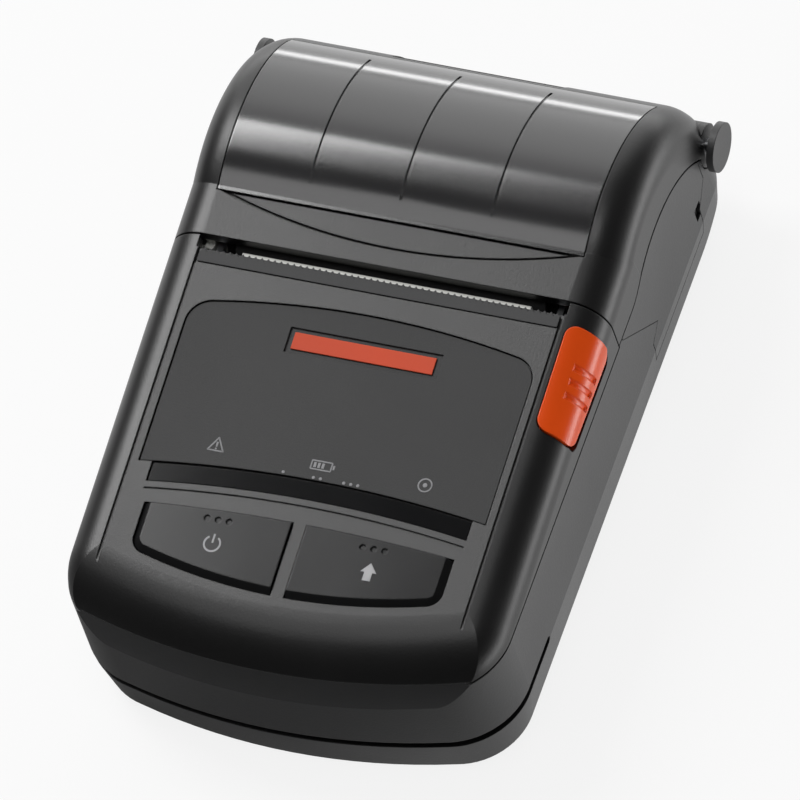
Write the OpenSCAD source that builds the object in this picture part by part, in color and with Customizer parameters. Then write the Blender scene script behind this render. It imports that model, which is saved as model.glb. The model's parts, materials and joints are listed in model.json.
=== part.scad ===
// Portable receipt printer: a hand-held thermal printer with a drop-in paper roll.
// X runs across the printer, Y from the nose to the hinge of the paper cover, Z up.
// The origin lies on the table, under the middle of the printer.

/* [Body] */
// Width across the shoulders
body_w = 82; // [79:0.5:86]
// Length from the nose to the rear face
body_l = 128; // [126:0.5:134]
// Height at the top of the paper cover
body_h = 43; // [42.5:0.25:46]
// Wall of the moulded housings
wall = 2; // [1.7:0.1:2.2]
// Floor of the lower housing
floor_t = 2; // [1.6:0.1:2.4]
// Rounding of the shoulders, in cross-section
shoulder_r = 7; // [6:0.25:7.5]
// Rounding of the nose, seen from the side
nose_r = 14; // [13:0.5:15]
// How far the nose curve runs past the front face that trims it
nose_lead = 0.3; // [0.2:0.05:0.5]
// Rounding of the front corners, seen from above
corner_r = 14; // [13:0.5:15]
// Radius of the bowed front, seen from above
front_r = 120; // [110:2:140]
// Height of the seam between the lower and the upper housing
seam_z = 26.4; // [26:0.1:27]
// Width of the line that the seams show
seam_line = 0.4; // [0.2:0.1:0.6]
// How far the rim of the base lies inside the walls
base_inset = 1.5; // [1:0.1:1.6]
// Rounding of the lower rear edge, seen from the side
rear_foot_r = 15; // [13:0.5:16]

/* [Grip groove round the nose] */
// Height of the middle of the groove
groove_z = 9.1; // [8.8:0.1:9.4]
// Height of the groove itself
groove_h = 1.8; // [1.4:0.1:2]
// Depth of the groove
groove_depth = 1.5; // [1:0.1:1.6]
// Distance from the nose to the round ends of the groove
groove_l = 27.5; // [25:0.5:30]

/* [Deck] */
// Slope of the deck, in degrees
deck_slope = 6.1; // [5.6:0.1:6.6]
// Distance from the nose to the front edge of the paper cover
slot_d = 77.9; // [77:0.2:79]
// Height of the deck at the paper slot
deck_z = 39.3; // [39:0.1:39.6]
// Width of the paper slot
slot_w = 69.2; // [67:0.2:70]
// Gap between the tear bar and the paper cover
slot_gap = 2.6; // [2.2:0.1:3]
// Width of the crease between deck and shoulder
crease_w = 0.5; // [0.3:0.1:0.7]
// Depth of the crease
crease_depth = 0.4; // [0.2:0.1:0.6]

/* [Control panel] */
// Distance from the slot to the top edge of the panel
panel_d = 9.7; // [9:0.1:10.5]
// Width of the panel
panel_w = 64.4; // [62:0.2:65]
// Radius of the bowed top edge of the panel
panel_arc_r = 161; // [140:1:190]
// Rounding of the panel's upper corners
panel_corner_r = 4.5; // [3:0.25:6]
// Depth of the seat that holds the panel
panel_seat = 1; // [0.9:0.05:1.1]
// Thickness of the panel
panel_t = 0.75; // [0.7:0.05:0.85]
// Gap round pieces that are set into the deck
inset_gap = 0.2; // [0.15:0.05:0.3]
// Width of the badge recess
badge_w = 28.4; // [26:0.2:30]
// Height of the badge recess along the deck
badge_h = 4.8; // [4:0.1:5.4]
// Distance from the slot to the middle of the badge
badge_d = 16.6; // [16:0.1:17.5]
// Sideways place of the badge
badge_x = 1; // [-2:0.5:3]
// Depth of the badge recess
badge_depth = 0.35; // [0.2:0.05:0.45]

/* [Indicator strip] */
// Distance from the slot to the top edge of the strip
lens_d = 41.9; // [41.5:0.1:42.5]
// Width of the strip along the deck
lens_h = 3.6; // [3:0.1:3.8]
// Length of the strip across the deck
lens_w = 59.6; // [57:0.2:60]
// Radius of the bowed strip
lens_arc_r = 230; // [215:5:260]
// Thickness of the strip
lens_t = 0.9; // [0.8:0.05:0.95]
// Radius of a light guide
guide_r = 1.1; // [0.9:0.1:1.3]
// Distance from the middle to the outer lights
guide_outer_x = 19.5; // [18:0.5:21]
// Distance between the three battery lights
guide_pitch = 6.3; // [5:0.1:7]

/* [Keys] */
// Distance from the slot to the rear edge of the keys
key_d = 50.2; // [49.8:0.1:50.6]
// Distance from the slot to the front edge of the keys
key_front_d = 64.4; // [63.8:0.1:64.8]
// Radius of the bowed front edge of the keys
key_front_r = 106; // [98:1:116]
// Distance across both keys
key_span = 57.8; // [56:0.2:58.4]
// Rib between the keys
key_rib = 2.4; // [2:0.1:3]
// Rounding of the outer front corner of a key
key_corner_r = 3; // [2:0.25:3.5]
// Height of the keys above the deck
key_proud = 0.5; // [0.3:0.05:0.7]
// Width of the bevel on a key
key_bevel = 1.2; // [0.8:0.1:1.4]
// Height of the bevel on a key
key_bevel_h = 0.9; // [0.5:0.1:1]
// Radius of the bowed rear edge of the keys
key_rear_r = 320; // [260:10:400]
// Sideways place of the rib between the keys
key_mid_x = -0.2; // [-0.5:0.1:0.5]
// Distance from the middle to a key's stem
key_stem_x = 14.5; // [13:0.5:16]
// Travel of a key
key_travel = 0.6; // [0.4:0.05:0.8]
// Radius of a key's stem
key_stem_r = 2.2; // [1.8:0.1:2.6]

/* [Open button] */
// Distance from the slot to the rear end of the button
open_d = 4.2; // [3.6:0.1:4.6]
// Length of the button
open_l = 20.2; // [18.6:0.2:22]
// Distance from the side to the inner edge of the button
open_in = 5.6; // [5:0.1:5.8]
// Height of the lower edge of the button above the seam
open_up = 4.4; // [3.8:0.1:4.8]
// Rounding of the button's corners
open_corner_r = 2.2; // [1.5:0.1:2.8]
// How far the button stands proud of the shoulder
open_proud = 0.35; // [0.2:0.05:0.5]
// Travel of the button
open_travel = 1.6; // [1.2:0.1:1.8]

/* [Paper cover] */
// Radius of the round top of the cover
barrel_r = 29.8; // [29.4:0.1:30.4]
// Distance from the rear face to the middle of the round top
barrel_in = 28.3; // [28:0.1:28.8]
// Height of the cover's hinge axis
hinge_z = 19.2; // [19.2:0.05:19.6]
// Distance from the rear face to the hinge axis
hinge_in = 3.9; // [3.8:0.05:4.1]
// Radius of the steel hinge pin
pin_r = 1.25; // [1:0.05:1.4]
// Running clearance of pins in their bores
run_gap = 0.05; // [0.03:0.01:0.08]
// Gap round the closed cover
cover_gap = 0.35; // [0.3:0.05:0.45]
// How far the cover opens, in degrees
cover_swing = 95; // [60:5:95]
// Distance from the rear face to the middle of the side arch
arch_in = 27.6; // [27:0.1:28]
// Height of the middle of the side arch
arch_z = 5; // [4.6:0.1:5.4]
// Radius of the side arch
arch_r = 25; // [24.6:0.1:25.4]
// Rounding where the seam runs into the side arch
arch_fillet = 12; // [8:1:16]
// Width of the window in the cover
window_w = 68.4; // [65:0.2:69]
// Thickness of the window
window_t = 1.2; // [1:0.05:1.3]
// Depth of the finger lip at the window's front edge
lip_l = 5.4; // [4.5:0.1:5.8]
// How far the finger lip lies below the deck
lip_dip = 0.5; // [0.3:0.05:0.7]
// Width of the gap before the finger lip
lip_gap = 0.6; // [0.4:0.05:0.8]
// Depth of the gap before the finger lip
lip_depth = 1.15; // [0.9:0.05:1.25]
// Distance from the slot to the window's front edge
window_d = 8.7; // [8:0.1:9.4]
// Angle of the window's rear edge on the tail, in degrees
window_end = 50; // [44:1:54]
// Distance between the grooves of the window
rib_pitch = 17; // [15:0.5:19]
// Distance from a groove's ends to the window's edges
rib_end = 3.6; // [2:0.2:5]
// Width of a window groove
rib_w = 0.5; // [0.3:0.05:0.7]
// Depth of a window groove
rib_depth = 0.35; // [0.2:0.05:0.5]

/* [Strap studs] */
// Radius of a stud's disc
stud_r = 4.5; // [4:0.1:5]
// Thickness of a stud's disc
stud_t = 1.3; // [1:0.1:2]
// Radius of a stud's neck
stud_neck_r = 2; // [1.8:0.1:2.4]
// Length of a stud's neck beyond the side
stud_neck_l = 1.1; // [0.9:0.1:2]

/* [Print mechanism] */
// Radius of the platen roller
platen_r = 4.4; // [4.2:0.05:4.5]
// Length of the platen roller
platen_l = 58; // [54:0.5:58]
// Radius of the platen shaft
shaft_r = 1.5; // [1.3:0.05:1.6]
// Distance from the slot to the platen axis
platen_back = 3.5; // [3.3:0.05:3.7]
// Height of the platen axis below the deck at the slot
platen_down = 6.9; // [6.8:0.05:7.1]
// Radius of the platen bushings
bush_r = 2.9; // [2.7:0.05:3]
// Distance between the frame's side plates
frame_w = 62.4; // [62:0.1:62.8]
// Thickness of the frame's sheet
frame_t = 1.2; // [1:0.05:1.3]
// Gap between the print head and the platen
head_gap = 0.05; // [0.03:0.01:0.1]
// Thickness of the print head's ceramic
head_t = 1; // [0.8:0.05:1.1]
// Thickness of the heat sink
sink_t = 3; // [2.6:0.1:3.2]
// Width of the print head
head_w = 54; // [50:0.5:56]
// Gear module
gear_m = 0.5; // [0.5:0.01:0.51]
// Width of a gear
gear_t = 1.6; // [1.4:0.05:1.7]
// Radius of the paper motor
motor_r = 6; // [5.5:0.1:6.2]
// Length of the paper motor
motor_l = 18; // [16:0.5:20]
// Number of teeth on the tear bar
tear_teeth = 56; // [40:1:64]
// Thickness of the tear bar
tear_t = 0.6; // [0.5:0.05:0.7]

/* [Paper roll space] */
// Distance from the rear face to the middle of the roll
roll_in = 24.6; // [24.4:0.1:24.8]
// Height of the middle of the roll
roll_z = 22.2; // [22.2:0.05:22.5]
// Inner radius of the tray under the roll
tray_r = 18.5; // [18:0.1:18.6]
// Thickness of the tray
tray_t = 1.2; // [1:0.05:1.25]
// Inner width of the tray
tray_w = 59; // [58:0.2:59.4]

/* [Battery and board] */
// Width of the battery pack
pack_w = 58; // [54:0.5:58.5]
// Length of the battery pack
pack_l = 44; // [40:0.5:44.5]
// Height of the battery pack
pack_h = 17.2; // [16:0.1:17.4]
// Distance from the nose to the battery pack
pack_d = 8.4; // [8.2:0.1:9]
// Gap round the battery pack
pack_gap = 0.4; // [0.3:0.05:0.5]
// How far the pack is set back from the table
pack_up = 0.4; // [0.3:0.05:0.6]
// Wall of the battery bay
bay_wall = 1.4; // [1.2:0.05:1.5]
// Height of the circuit board's underside
board_z = 22; // [21.8:0.1:22.2]
// Thickness of the circuit board
board_t = 1.2; // [1:0.1:1.6]

/* [Side door] */
// Height of the door's lower edge
door_z = 5.9; // [5.7:0.1:6.2]
// Thickness of the door
door_t = 1.5; // [1.3:0.05:1.6]
// Gap round the door
door_gap = 0.2; // [0.15:0.05:0.3]
// Radius of the door's hinge pin
door_pin_r = 0.6; // [0.5:0.05:0.65]

/* [Hidden] */
$fn = 72;
big = 200;
skin = 0.02;
side_step = 0.05;

// the body
half_w = body_w / 2;
stud_over = max(0, stud_r - hinge_in);
front_y = -(body_l + stud_over) / 2;
rear_y = front_y + body_l;
front_cy = front_y + front_r;
corner_x = half_w - corner_r;
corner_y = front_cy - sqrt(pow(front_r - corner_r, 2) - pow(corner_x, 2));
rear_cy = rear_y - shoulder_r;
base_z = groove_z;
step_z = groove_z + groove_h / 2 + 0.5;
flat_x = half_w - shoulder_r;

// the deck
slot_y = front_y + slot_d;
function deck_height(y) = deck_z + (y - slot_y) * tan(deck_slope);
function deck_along(y, z) = (y - slot_y) * cos(deck_slope) + (z - deck_z) * sin(deck_slope);
nose_cy = front_y + nose_r - nose_lead;
nose_cz = deck_height(nose_cy) - nose_r / cos(deck_slope);
nose_v = deck_along(nose_cy, nose_cz);
corner_v = deck_along(corner_y, seam_z);
slab_deep = 30;
key_v = -(key_d + key_front_d) / 2;
key_mid = key_front_r - key_front_d;
key_rx = key_span / 2 - key_corner_r;
key_rv = key_mid - sqrt(pow(key_front_r - key_corner_r, 2) - pow(key_rx, 2));
key_stem_l = 5.6;

// the cover
bar_y = rear_y - barrel_in;
bar_z = body_h - barrel_r;
hinge_y = rear_y - hinge_in;
knuckle_r = hinge_in;
sweep_r = knuckle_r / cos(cover_swing / 2) + cover_gap;
arch_y = rear_y - arch_in;
fillet_y = arch_y - sqrt(pow(arch_r + arch_fillet, 2) - pow(seam_z + arch_fillet - arch_z, 2));
tower_in = 30;
tower_out = 33.4;
tower_r = 3.2;
barrel_half = tower_in - 0.3;
notch_out = tower_out + 0.3;
knuckle_in = notch_out + 0.3;
window_ledge = 2;
recess_w = 32;
recess_depth = 1.2;
recess_from = window_end + 3.5;
recess_to = window_end + 17;
window_y = slot_y + window_d;
lip_r = (pow(window_w / 2, 2) + pow(lip_l, 2)) / (2 * lip_l);

// the mechanism
platen_y = slot_y + platen_back;
platen_z = deck_z - platen_down;
platen_teeth = 20;
platen_tip_r = gear_m * (platen_teeth / 2 + 0.85);
gear_room = 0.35;
small_teeth = 12;
large_teeth = 28;
pinion_teeth = 12;
mesh_1 = 215;
mesh_2 = 205;
near_c = gear_m * (platen_teeth + small_teeth) / 2;
far_c = gear_m * (large_teeth + pinion_teeth) / 2;
idler_y = platen_y + near_c * cos(mesh_1);
idler_z = platen_z + near_c * sin(mesh_1);
motor_y = idler_y + far_c * cos(mesh_2);
motor_z = idler_z + far_c * sin(mesh_2);
plate_in = frame_w / 2;
plate_out = plate_in + frame_t;
layer_gap = 0.4;
tooth_play = 0.048;
layer_1 = plate_out + layer_gap;
layer_2 = layer_1 + gear_t + layer_gap;
layer_end = layer_2 + gear_t;
arm_in = platen_l / 2 + 0.3;
arm_out = plate_in - 0.4;
head_y = platen_y - platen_r - head_gap;
head_top = platen_z + 4.1;
head_low = platen_z - 6.4;
sink_y = head_y - head_t;
pivot_y = sink_y - sink_t / 2;
pivot_z = platen_z - 9.4;
pivot_r = 1;
frame_floor = 16;
frame_front = slot_y - 19.4;
spring_bar_y = sink_y - sink_t - 4.6;
swing_dir = atan2(hinge_y - platen_y, platen_z - hinge_z);
lever_y = slot_y - 5.6;
lever_z = platen_z - 2.9;
lever_x = plate_out + 0.4;
lever_t = 1.6;
post_ys = [slot_y - 17.4, slot_y + 1.5];
post_x = 25;

// the roll, the battery and the board
roll_y = rear_y - roll_in;
tray_out = tray_r + tray_t;
tray_end = rear_y - 8.7;
pack_y = front_y + pack_d;
bay_x = pack_w / 2 + pack_gap;
bay_front = pack_y - pack_gap;
bay_rear = pack_y + pack_l + pack_gap;
bay_top = pack_up + pack_h + pack_gap;
board_y = bay_front;
board_gap = 1.7;
board_l = frame_front - board_gap - board_y;
board_x = 31;
board_top = board_z + board_t;
peg_xs = 26;
peg_ys = [pack_y + 7, pack_y + pack_l - 4];
screw_x = half_w - 6.2;
screw_ys = [corner_y + 6, slot_y - open_d - open_l - 6.6];
screw_r = 1;
screw_head_r = 1.9;
screw_head_z = 3.2;
boss_r = 3.3;
boss_top = 5.8;
post_r = 2.4;
frame_screw_r = 0.8;
latch_w = 14;
latch_l = 6.6;
latch_travel = 2.5;
latch_y = bay_rear + bay_wall + 0.3;

// the side door
door_in = half_w - door_t;
door_pin_x = door_in + 0.05;
door_pin_z = door_z + 1;
door_knuckle_r = 0.95;
door_front = rear_y - 40.3;
door_rear = rear_y - 14;
port_x = door_in - 2.3;
port_t = 1.5;
jack_y = rear_y - 33;
jack_z = 13.4;
usb_y = rear_y - 20.5;
usb_z = 12.4;

// Draws its children, given in Y and Z, from one X to another
module along_x(x0, x1) {
  translate([x0, 0, 0])
    rotate([90, 0, 90])
      linear_extrude(x1 - x0)
        children();
}

module across() {
  along_x(-half_w - 1, half_w + 1)
    children();
}

// A round bar along X
module bar_x(r, x0, x1, y, z) {
  translate([x0, y, z])
    rotate([0, 90, 0])
      cylinder(r = r, h = x1 - x0);
}

module both_sides() {
  children();
  mirror([1, 0, 0])
    children();
}

// A half space above z, below z or behind y
module above(z) {
  translate([-big / 2, -big / 2, z])
    cube([big, big, big]);
}

module below(z) {
  above(z - big);
}

module behind(y) {
  translate([-big / 2, y, -big / 2])
    cube([big, big, big]);
}

// A round bar along Y
module bar_y(r, y0, y1, x, z) {
  translate([x, y0, z])
    rotate([-90, 0, 0])
      cylinder(r = r, h = y1 - y0);
}

// Puts its children at the screws that hold the housings together
module at_screws(z) {
  for (x = [-screw_x, screw_x], y = screw_ys) {
    translate([x, y, z])
      children();
  }
}

// Puts its children at the posts under the print mechanism
module at_posts(z) {
  for (x = [-post_x, post_x], y = post_ys) {
    translate([x, y, z])
      children();
  }
}

// Puts its children on the sloping deck: X across, Y back from the slot, Z up from the surface
module on_deck() {
  translate([0, slot_y, deck_z])
    rotate([deck_slope, 0, 0])
      children();
}

// A wedge from the middle of a bowed front to its corners
module bow_wedge(x, v, mid_v) {
  reach = 1.3;
  polygon([[0, mid_v], [-x * reach, mid_v + (v - mid_v) * reach], [x * reach, mid_v + (v - mid_v) * reach]]);
}

// The body seen from above, drawn in by inset
module body_outline(inset = 0) {
  translate([inset - half_w, corner_y])
    square([2 * (half_w - inset), rear_cy - corner_y]);
  translate([-flat_x, corner_y])
    square([2 * flat_x, rear_y - inset - corner_y]);
  for (s = [-1, 1]) {
    translate([s * flat_x, rear_cy])
      circle(r = shoulder_r - inset);
    translate([s * corner_x, corner_y])
      circle(r = corner_r - inset);
  }
  intersection() {
    translate([0, front_cy])
      circle(r = front_r - inset, $fn = 720);
    bow_wedge(corner_x, corner_y, front_cy);
  }
}

// Half the section of a round slab whose upper edge is rounded by e
module round_edge(r, e, h) {
  square([r - e, h]);
  square([r, h - e]);
  translate([r - e, h - e])
    intersection() {
      circle(r = e);
      square([e, e]);
    }
}

// The nose rounding as one large turned slab, on the deck
module nose_turn(inset = 0) {
  translate([0, nose_v - nose_r + front_r, -slab_deep])
    rotate_extrude()
      round_edge(front_r - inset, nose_r - inset, slab_deep - inset);
}

// Deck and shoulders with their rounded front corners, on the deck
module deck_slab(inset = 0, back = 0) {
  edge = shoulder_r - inset;
  intersection() {
    union() {
      for (s = [-1, 1]) {
        translate([s * flat_x, back, -shoulder_r])
          rotate([90, 0, 0])
            cylinder(r = edge, h = back - corner_v);
        translate([s * corner_x, corner_v, -slab_deep])
          rotate_extrude()
            round_edge(corner_r - inset, edge, slab_deep - inset);
      }
      translate([-flat_x, corner_v, -slab_deep])
        cube([2 * flat_x, back - corner_v, slab_deep - inset]);
      translate([inset - half_w, corner_v, -slab_deep])
        cube([2 * (half_w - inset), back - corner_v, slab_deep - shoulder_r]);
      translate([-corner_x, nose_v - nose_r - 1, -slab_deep])
        cube([2 * corner_x, corner_v - nose_v + nose_r + 1, slab_deep - inset]);
    }
    nose_turn(inset);
  }
}

// A barrel across the body, its ends rounded as the shoulders are and a touch inside them
module barrel(r, inset = 0) {
  both_sides()
    rotate([0, 90, 0])
      rotate_extrude()
        round_edge(r - inset, shoulder_r - inset, half_w - side_step - inset);
}

// Deck and barrel behind the slot, as one solid
module cover_form(inset = 0) {
  open = inset > 0 ? 4 : 0;
  intersection() {
    union() {
      on_deck()
        deck_slab(inset, 12);
      intersection() {
        translate([0, bar_y, bar_z])
          barrel(barrel_r, inset);
        translate([0, 0, hinge_z - 12])
          linear_extrude(60)
            body_outline(inset);
      }
    }
    behind(slot_y - open);
  }
}

// What lies under the side seam and its arch, seen from the side
module under_seam(gap = 0) {
  translate([front_y - 5, -5])
    square([arch_y - front_y + 5, seam_z + gap + 5]);
  translate([arch_y, arch_z])
    circle(r = arch_r + gap);
  difference() {
    polygon([[fillet_y, seam_z - 2], [arch_y, arch_z], [fillet_y, seam_z + arch_fillet]]);
    translate([fillet_y, seam_z + arch_fillet])
      circle(r = arch_fillet - gap);
  }
}

// The nose that the lower housing's front is cut to
module lower_nose(inset = 0) {
  on_deck()
    nose_turn(inset);
  below(nose_cz);
}

// The base with its tapered rim, up to base_z
module tapered_base() {
  translate([0, rear_cy, 0])
    rotate([90, 0, 0])
      linear_extrude(rear_cy - corner_y)
        polygon([[base_inset - half_w, 0], [half_w - base_inset, 0], [half_w, base_z], [-half_w, base_z]]);
  along_x(-flat_x, flat_x)
    polygon([[corner_y, 0], [rear_y - base_inset, 0], [rear_y, base_z], [corner_y, base_z]]);
  for (s = [-1, 1]) {
    translate([s * flat_x, rear_cy, 0])
      cylinder(r1 = shoulder_r - base_inset, r2 = shoulder_r, h = base_z);
    translate([s * corner_x, corner_y, 0])
      cylinder(r1 = corner_r - base_inset, r2 = corner_r, h = base_z);
  }
  intersection() {
    translate([0, front_cy, 0])
      cylinder(r1 = front_r - base_inset - skin, r2 = front_r - skin, h = base_z, $fn = 720);
    linear_extrude(base_z)
      bow_wedge(corner_x, corner_y, front_cy);
  }
}

// The side view of the lower housing's rear
module rear_profile(inset = 0) {
  foot_y = rear_y - rear_foot_r;
  translate([foot_y - big, inset])
    square([big, big]);
  translate([foot_y - 1, rear_foot_r])
    square([rear_foot_r + 1 - inset, big]);
  translate([foot_y, rear_foot_r])
    circle(r = rear_foot_r - inset);
}

module lower_form() {
  intersection() {
    union() {
      tapered_base();
      translate([0, 0, base_z])
        linear_extrude(arch_r + arch_z + 1 - base_z)
          body_outline();
    }
    lower_nose();
    across()
      difference() {
        union() {
          under_seam();
          translate([arch_y, -5])
            square([big, hinge_z + 5]);
        }
        translate([hinge_y, hinge_z])
          circle(r = knuckle_r + cover_gap);
      }
    across()
      rear_profile();
  }
}

module lower_hollow() {
  translate([0, 0, floor_t])
    linear_extrude(step_z - floor_t + skin)
      body_outline(wall + base_inset);
  intersection() {
    translate([0, 0, step_z])
      linear_extrude(big)
        body_outline(wall);
    lower_nose(wall);
  }
}

module grip_groove() {
  end_y = front_y + groove_l;
  intersection() {
    translate([0, 0, groove_z - groove_h / 2])
      linear_extrude(groove_h)
        difference() {
          body_outline(-2);
          body_outline(groove_depth);
        }
    translate([-big / 2, front_y - 5, 0])
      cube([big, groove_l + 5, big]);
  }
  both_sides()
    bar_x(groove_h / 2, half_w - groove_depth, half_w + 2, end_y, groove_z);
}

module battery_bay(grow = 0) {
  translate([-bay_x - grow, bay_front - grow, -1])
    cube([2 * (bay_x + grow), bay_rear - bay_front + 2 * grow, bay_top + grow + 1]);
}

module hinge_towers() {
  both_sides()
    along_x(tower_in, tower_out) {
      translate([hinge_y, hinge_z])
        circle(r = tower_r);
      intersection() {
        polygon([[hinge_y - 2.8, 0], [rear_y, 0], [rear_y, hinge_z - sweep_r - 0.3],
          [hinge_y + 2.8, hinge_z - 5.2], [hinge_y + 2.8, hinge_z], [hinge_y - 2.8, hinge_z]]);
        rear_profile(wall / 2);
      }
    }
}

// The side door seen from the side; grow widens it
module door_outline(grow = 0) {
  polygon([[door_front - grow, door_z - grow], [door_rear + grow, door_z - grow],
    [door_rear + 0.6 + grow, 12.8], [door_rear + 4.8 + grow, 16.6], [door_rear + 4.8 + grow, seam_z + 6],
    [rear_y - 48.5 - grow, seam_z + 6], [rear_y - 48.5 - grow, seam_z - 0.5], [rear_y - 36.6 - grow, 13.2],
    [door_front - grow, 11.2]]);
}

// The plate that carries the sockets behind the side door
module port_plate() {
  intersection() {
    union() {
      along_x(port_x, port_x + port_t)
        door_outline(1.6);
      along_x(port_x + port_t - skin, half_w - 1.2)
        difference() {
          door_outline(1.6);
          door_outline(door_gap);
        }
    }
    along_x(port_x - 1, half_w)
      difference() {
        translate([arch_y, arch_z])
          circle(r = arch_r - 0.6);
        translate([arch_y - big, -big + floor_t - 0.5])
          square([2 * big, big]);
        translate([hinge_y, hinge_z])
          circle(r = knuckle_r + cover_gap);
      }
  }
}

module lower_housing() {
  color([0.2, 0.2, 0.21])
    difference() {
      union() {
        difference() {
          lower_form();
          intersection() {
            lower_hollow();
            along_x(-half_w, half_w)
              rear_profile(wall);
          }
        }
        intersection() {
          battery_bay(bay_wall);
          lower_form();
        }
        hinge_towers();
        port_plate();
        // screw bosses
        at_screws(0.5)
          cylinder(r = boss_r, h = boss_top - 0.5);
        // posts under the print mechanism
        at_posts(floor_t - 0.5)
          cylinder(r = 2.5, h = frame_floor - floor_t + 0.5);
        // pegs that carry the circuit board
        for (x = [-peg_xs, peg_xs], y = peg_ys) {
          translate([x, y, bay_top]) {
            cylinder(r = 2.2, h = board_z - bay_top);
            cylinder(r = 0.9, h = board_top + 0.6 - bay_top);
          }
        }
        // rests under the paper tray
        for (x = [-20, 20]) {
          translate([x - 1.5, roll_y - 3, floor_t - 0.5])
            cube([3, 6, roll_z - tray_out - floor_t + 0.45]);
        }
      }
      battery_bay();
      grip_groove();
      // the line that the seam shows
      translate([0, 0, seam_z - seam_line])
        linear_extrude(seam_line + 1)
          intersection() {
            difference() {
              body_outline(-1);
              body_outline(seam_line);
            }
            translate([-big / 2, -big])
              square([big, big + slot_y]);
          }
      // room for the cover's rear wall as it swings down
      intersection() {
        bar_x(sweep_r, -half_w - 1, half_w + 1, hinge_y, hinge_z);
        difference() {
          translate([-half_w - 1, hinge_y + 0.9, 0])
            cube([2 * half_w + 2, 20, 40]);
          both_sides()
            translate([tower_in, 0, 0])
              cube([tower_out - tower_in, hinge_y + 3.2, 40]);
        }
      }
      bar_x(pin_r + run_gap, -tower_out - 1, tower_out + 1, hinge_y, hinge_z);
      // the opening that the side door closes, with room for its hinge
      along_x(half_w - 1.6, half_w + 1)
        intersection() {
          door_outline(door_gap);
          under_seam(1);
        }
      bar_y(door_knuckle_r + 0.5, door_front - door_gap, door_rear + door_gap, door_pin_x, door_pin_z);
      bar_y(door_pin_r + skin, door_front - 1.3, door_rear + 1.3, door_pin_x, door_pin_z);
      // ways to the sockets
      bar_x(3.1, port_x - 1, port_x + port_t + 0.2, jack_y, jack_z);
      translate([port_x - 1, usb_y - 4, usb_z - 2])
        cube([port_t + 1.2, 8, 4]);
      // screws from below
      at_screws(-1) {
        cylinder(r = screw_r + 0.15, h = 10);
        cylinder(r = screw_head_r + 0.2, h = screw_head_z + 1);
      }
      at_posts(frame_floor - 6)
        cylinder(r = frame_screw_r + skin, h = 7);
      // the slot of the battery latch, and the way for its tongue
      translate([-latch_w / 2 - 0.2, latch_y - 0.2, -1])
        cube([latch_w + 0.4, latch_l + latch_travel + 0.4, 5]);
      translate([-4.3, bay_rear - 1, -1])
        cube([8.6, 4, 2.6]);
    }
}

// The open button's outline seen from the side
module button_side(grow = 0) {
  y1 = slot_y - open_d + grow;
  y0 = y1 - open_l - 2 * grow;
  low = seam_z + open_up - grow;
  r = open_corner_r + grow;
  translate([y0, low + r])
    square([y1 - y0, 30]);
  translate([y0 + r, low])
    square([y1 - y0 - 2 * r, 30]);
  for (y = [y0 + r, y1 - r]) {
    translate([y, low + r])
      circle(r = r);
  }
}

// The open button's outline seen from above
module button_top(grow = 0) {
  y1 = slot_y - open_d + grow;
  y0 = y1 - open_l - 2 * grow;
  x0 = half_w - open_in - grow;
  r = open_corner_r + grow;
  translate([x0 + r, y0])
    square([20, y1 - y0]);
  translate([x0, y0 + r])
    square([20, y1 - y0 - 2 * r]);
  for (y = [y0 + r, y1 - r]) {
    translate([x0 + r, y])
      circle(r = r);
  }
}

module button_prism(grow = 0) {
  intersection() {
    along_x(half_w - open_in - 4, half_w + 3)
      button_side(grow);
    linear_extrude(60)
      button_top(grow);
  }
}

// The panel's outline on the deck, drawn in by inset
module panel_outline(inset = 0) {
  mid = -panel_d - panel_arc_r;
  rx = panel_w / 2 - panel_corner_r;
  rv = mid + sqrt(pow(panel_arc_r - panel_corner_r, 2) - pow(rx, 2));
  difference() {
    union() {
      translate([inset - panel_w / 2, -lens_d - 10])
        square([panel_w - 2 * inset, rv + lens_d + 10]);
      for (s = [-1, 1]) {
        translate([s * rx, rv])
          circle(r = panel_corner_r - inset);
      }
      intersection() {
        translate([0, mid])
          circle(r = panel_arc_r - inset, $fn = 720);
        bow_wedge(rx, rv, mid);
      }
    }
    lens_disc(0.3 + inset);
  }
}

// A disc with the bow of the indicator strip's top edge, made larger by grow
module lens_disc(grow) {
  translate([0, -lens_d - lens_arc_r])
    circle(r = lens_arc_r + grow, $fn = 720);
}

module lens_outline(inset = 0) {
  intersection() {
    difference() {
      lens_disc(-inset);
      lens_disc(inset - lens_h);
    }
    translate([inset - lens_w / 2, -lens_d - 12])
      square([lens_w - 2 * inset, 14]);
  }
}

// Both keys' outline on the deck, drawn in by inset
module keys_outline(inset = 0) {
  intersection() {
    translate([0, -key_d - key_rear_r])
      circle(r = key_rear_r - inset, $fn = 720);
    union() {
      translate([inset - key_span / 2, key_rv])
        square([key_span - 2 * inset, -key_d + 5 - key_rv]);
      for (s = [-1, 1]) {
        translate([s * key_rx, key_rv])
          circle(r = key_corner_r - inset);
      }
      intersection() {
        translate([0, key_mid])
          circle(r = key_front_r - inset, $fn = 720);
        bow_wedge(key_rx, key_rv, key_mid);
      }
    }
  }
}

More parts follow.
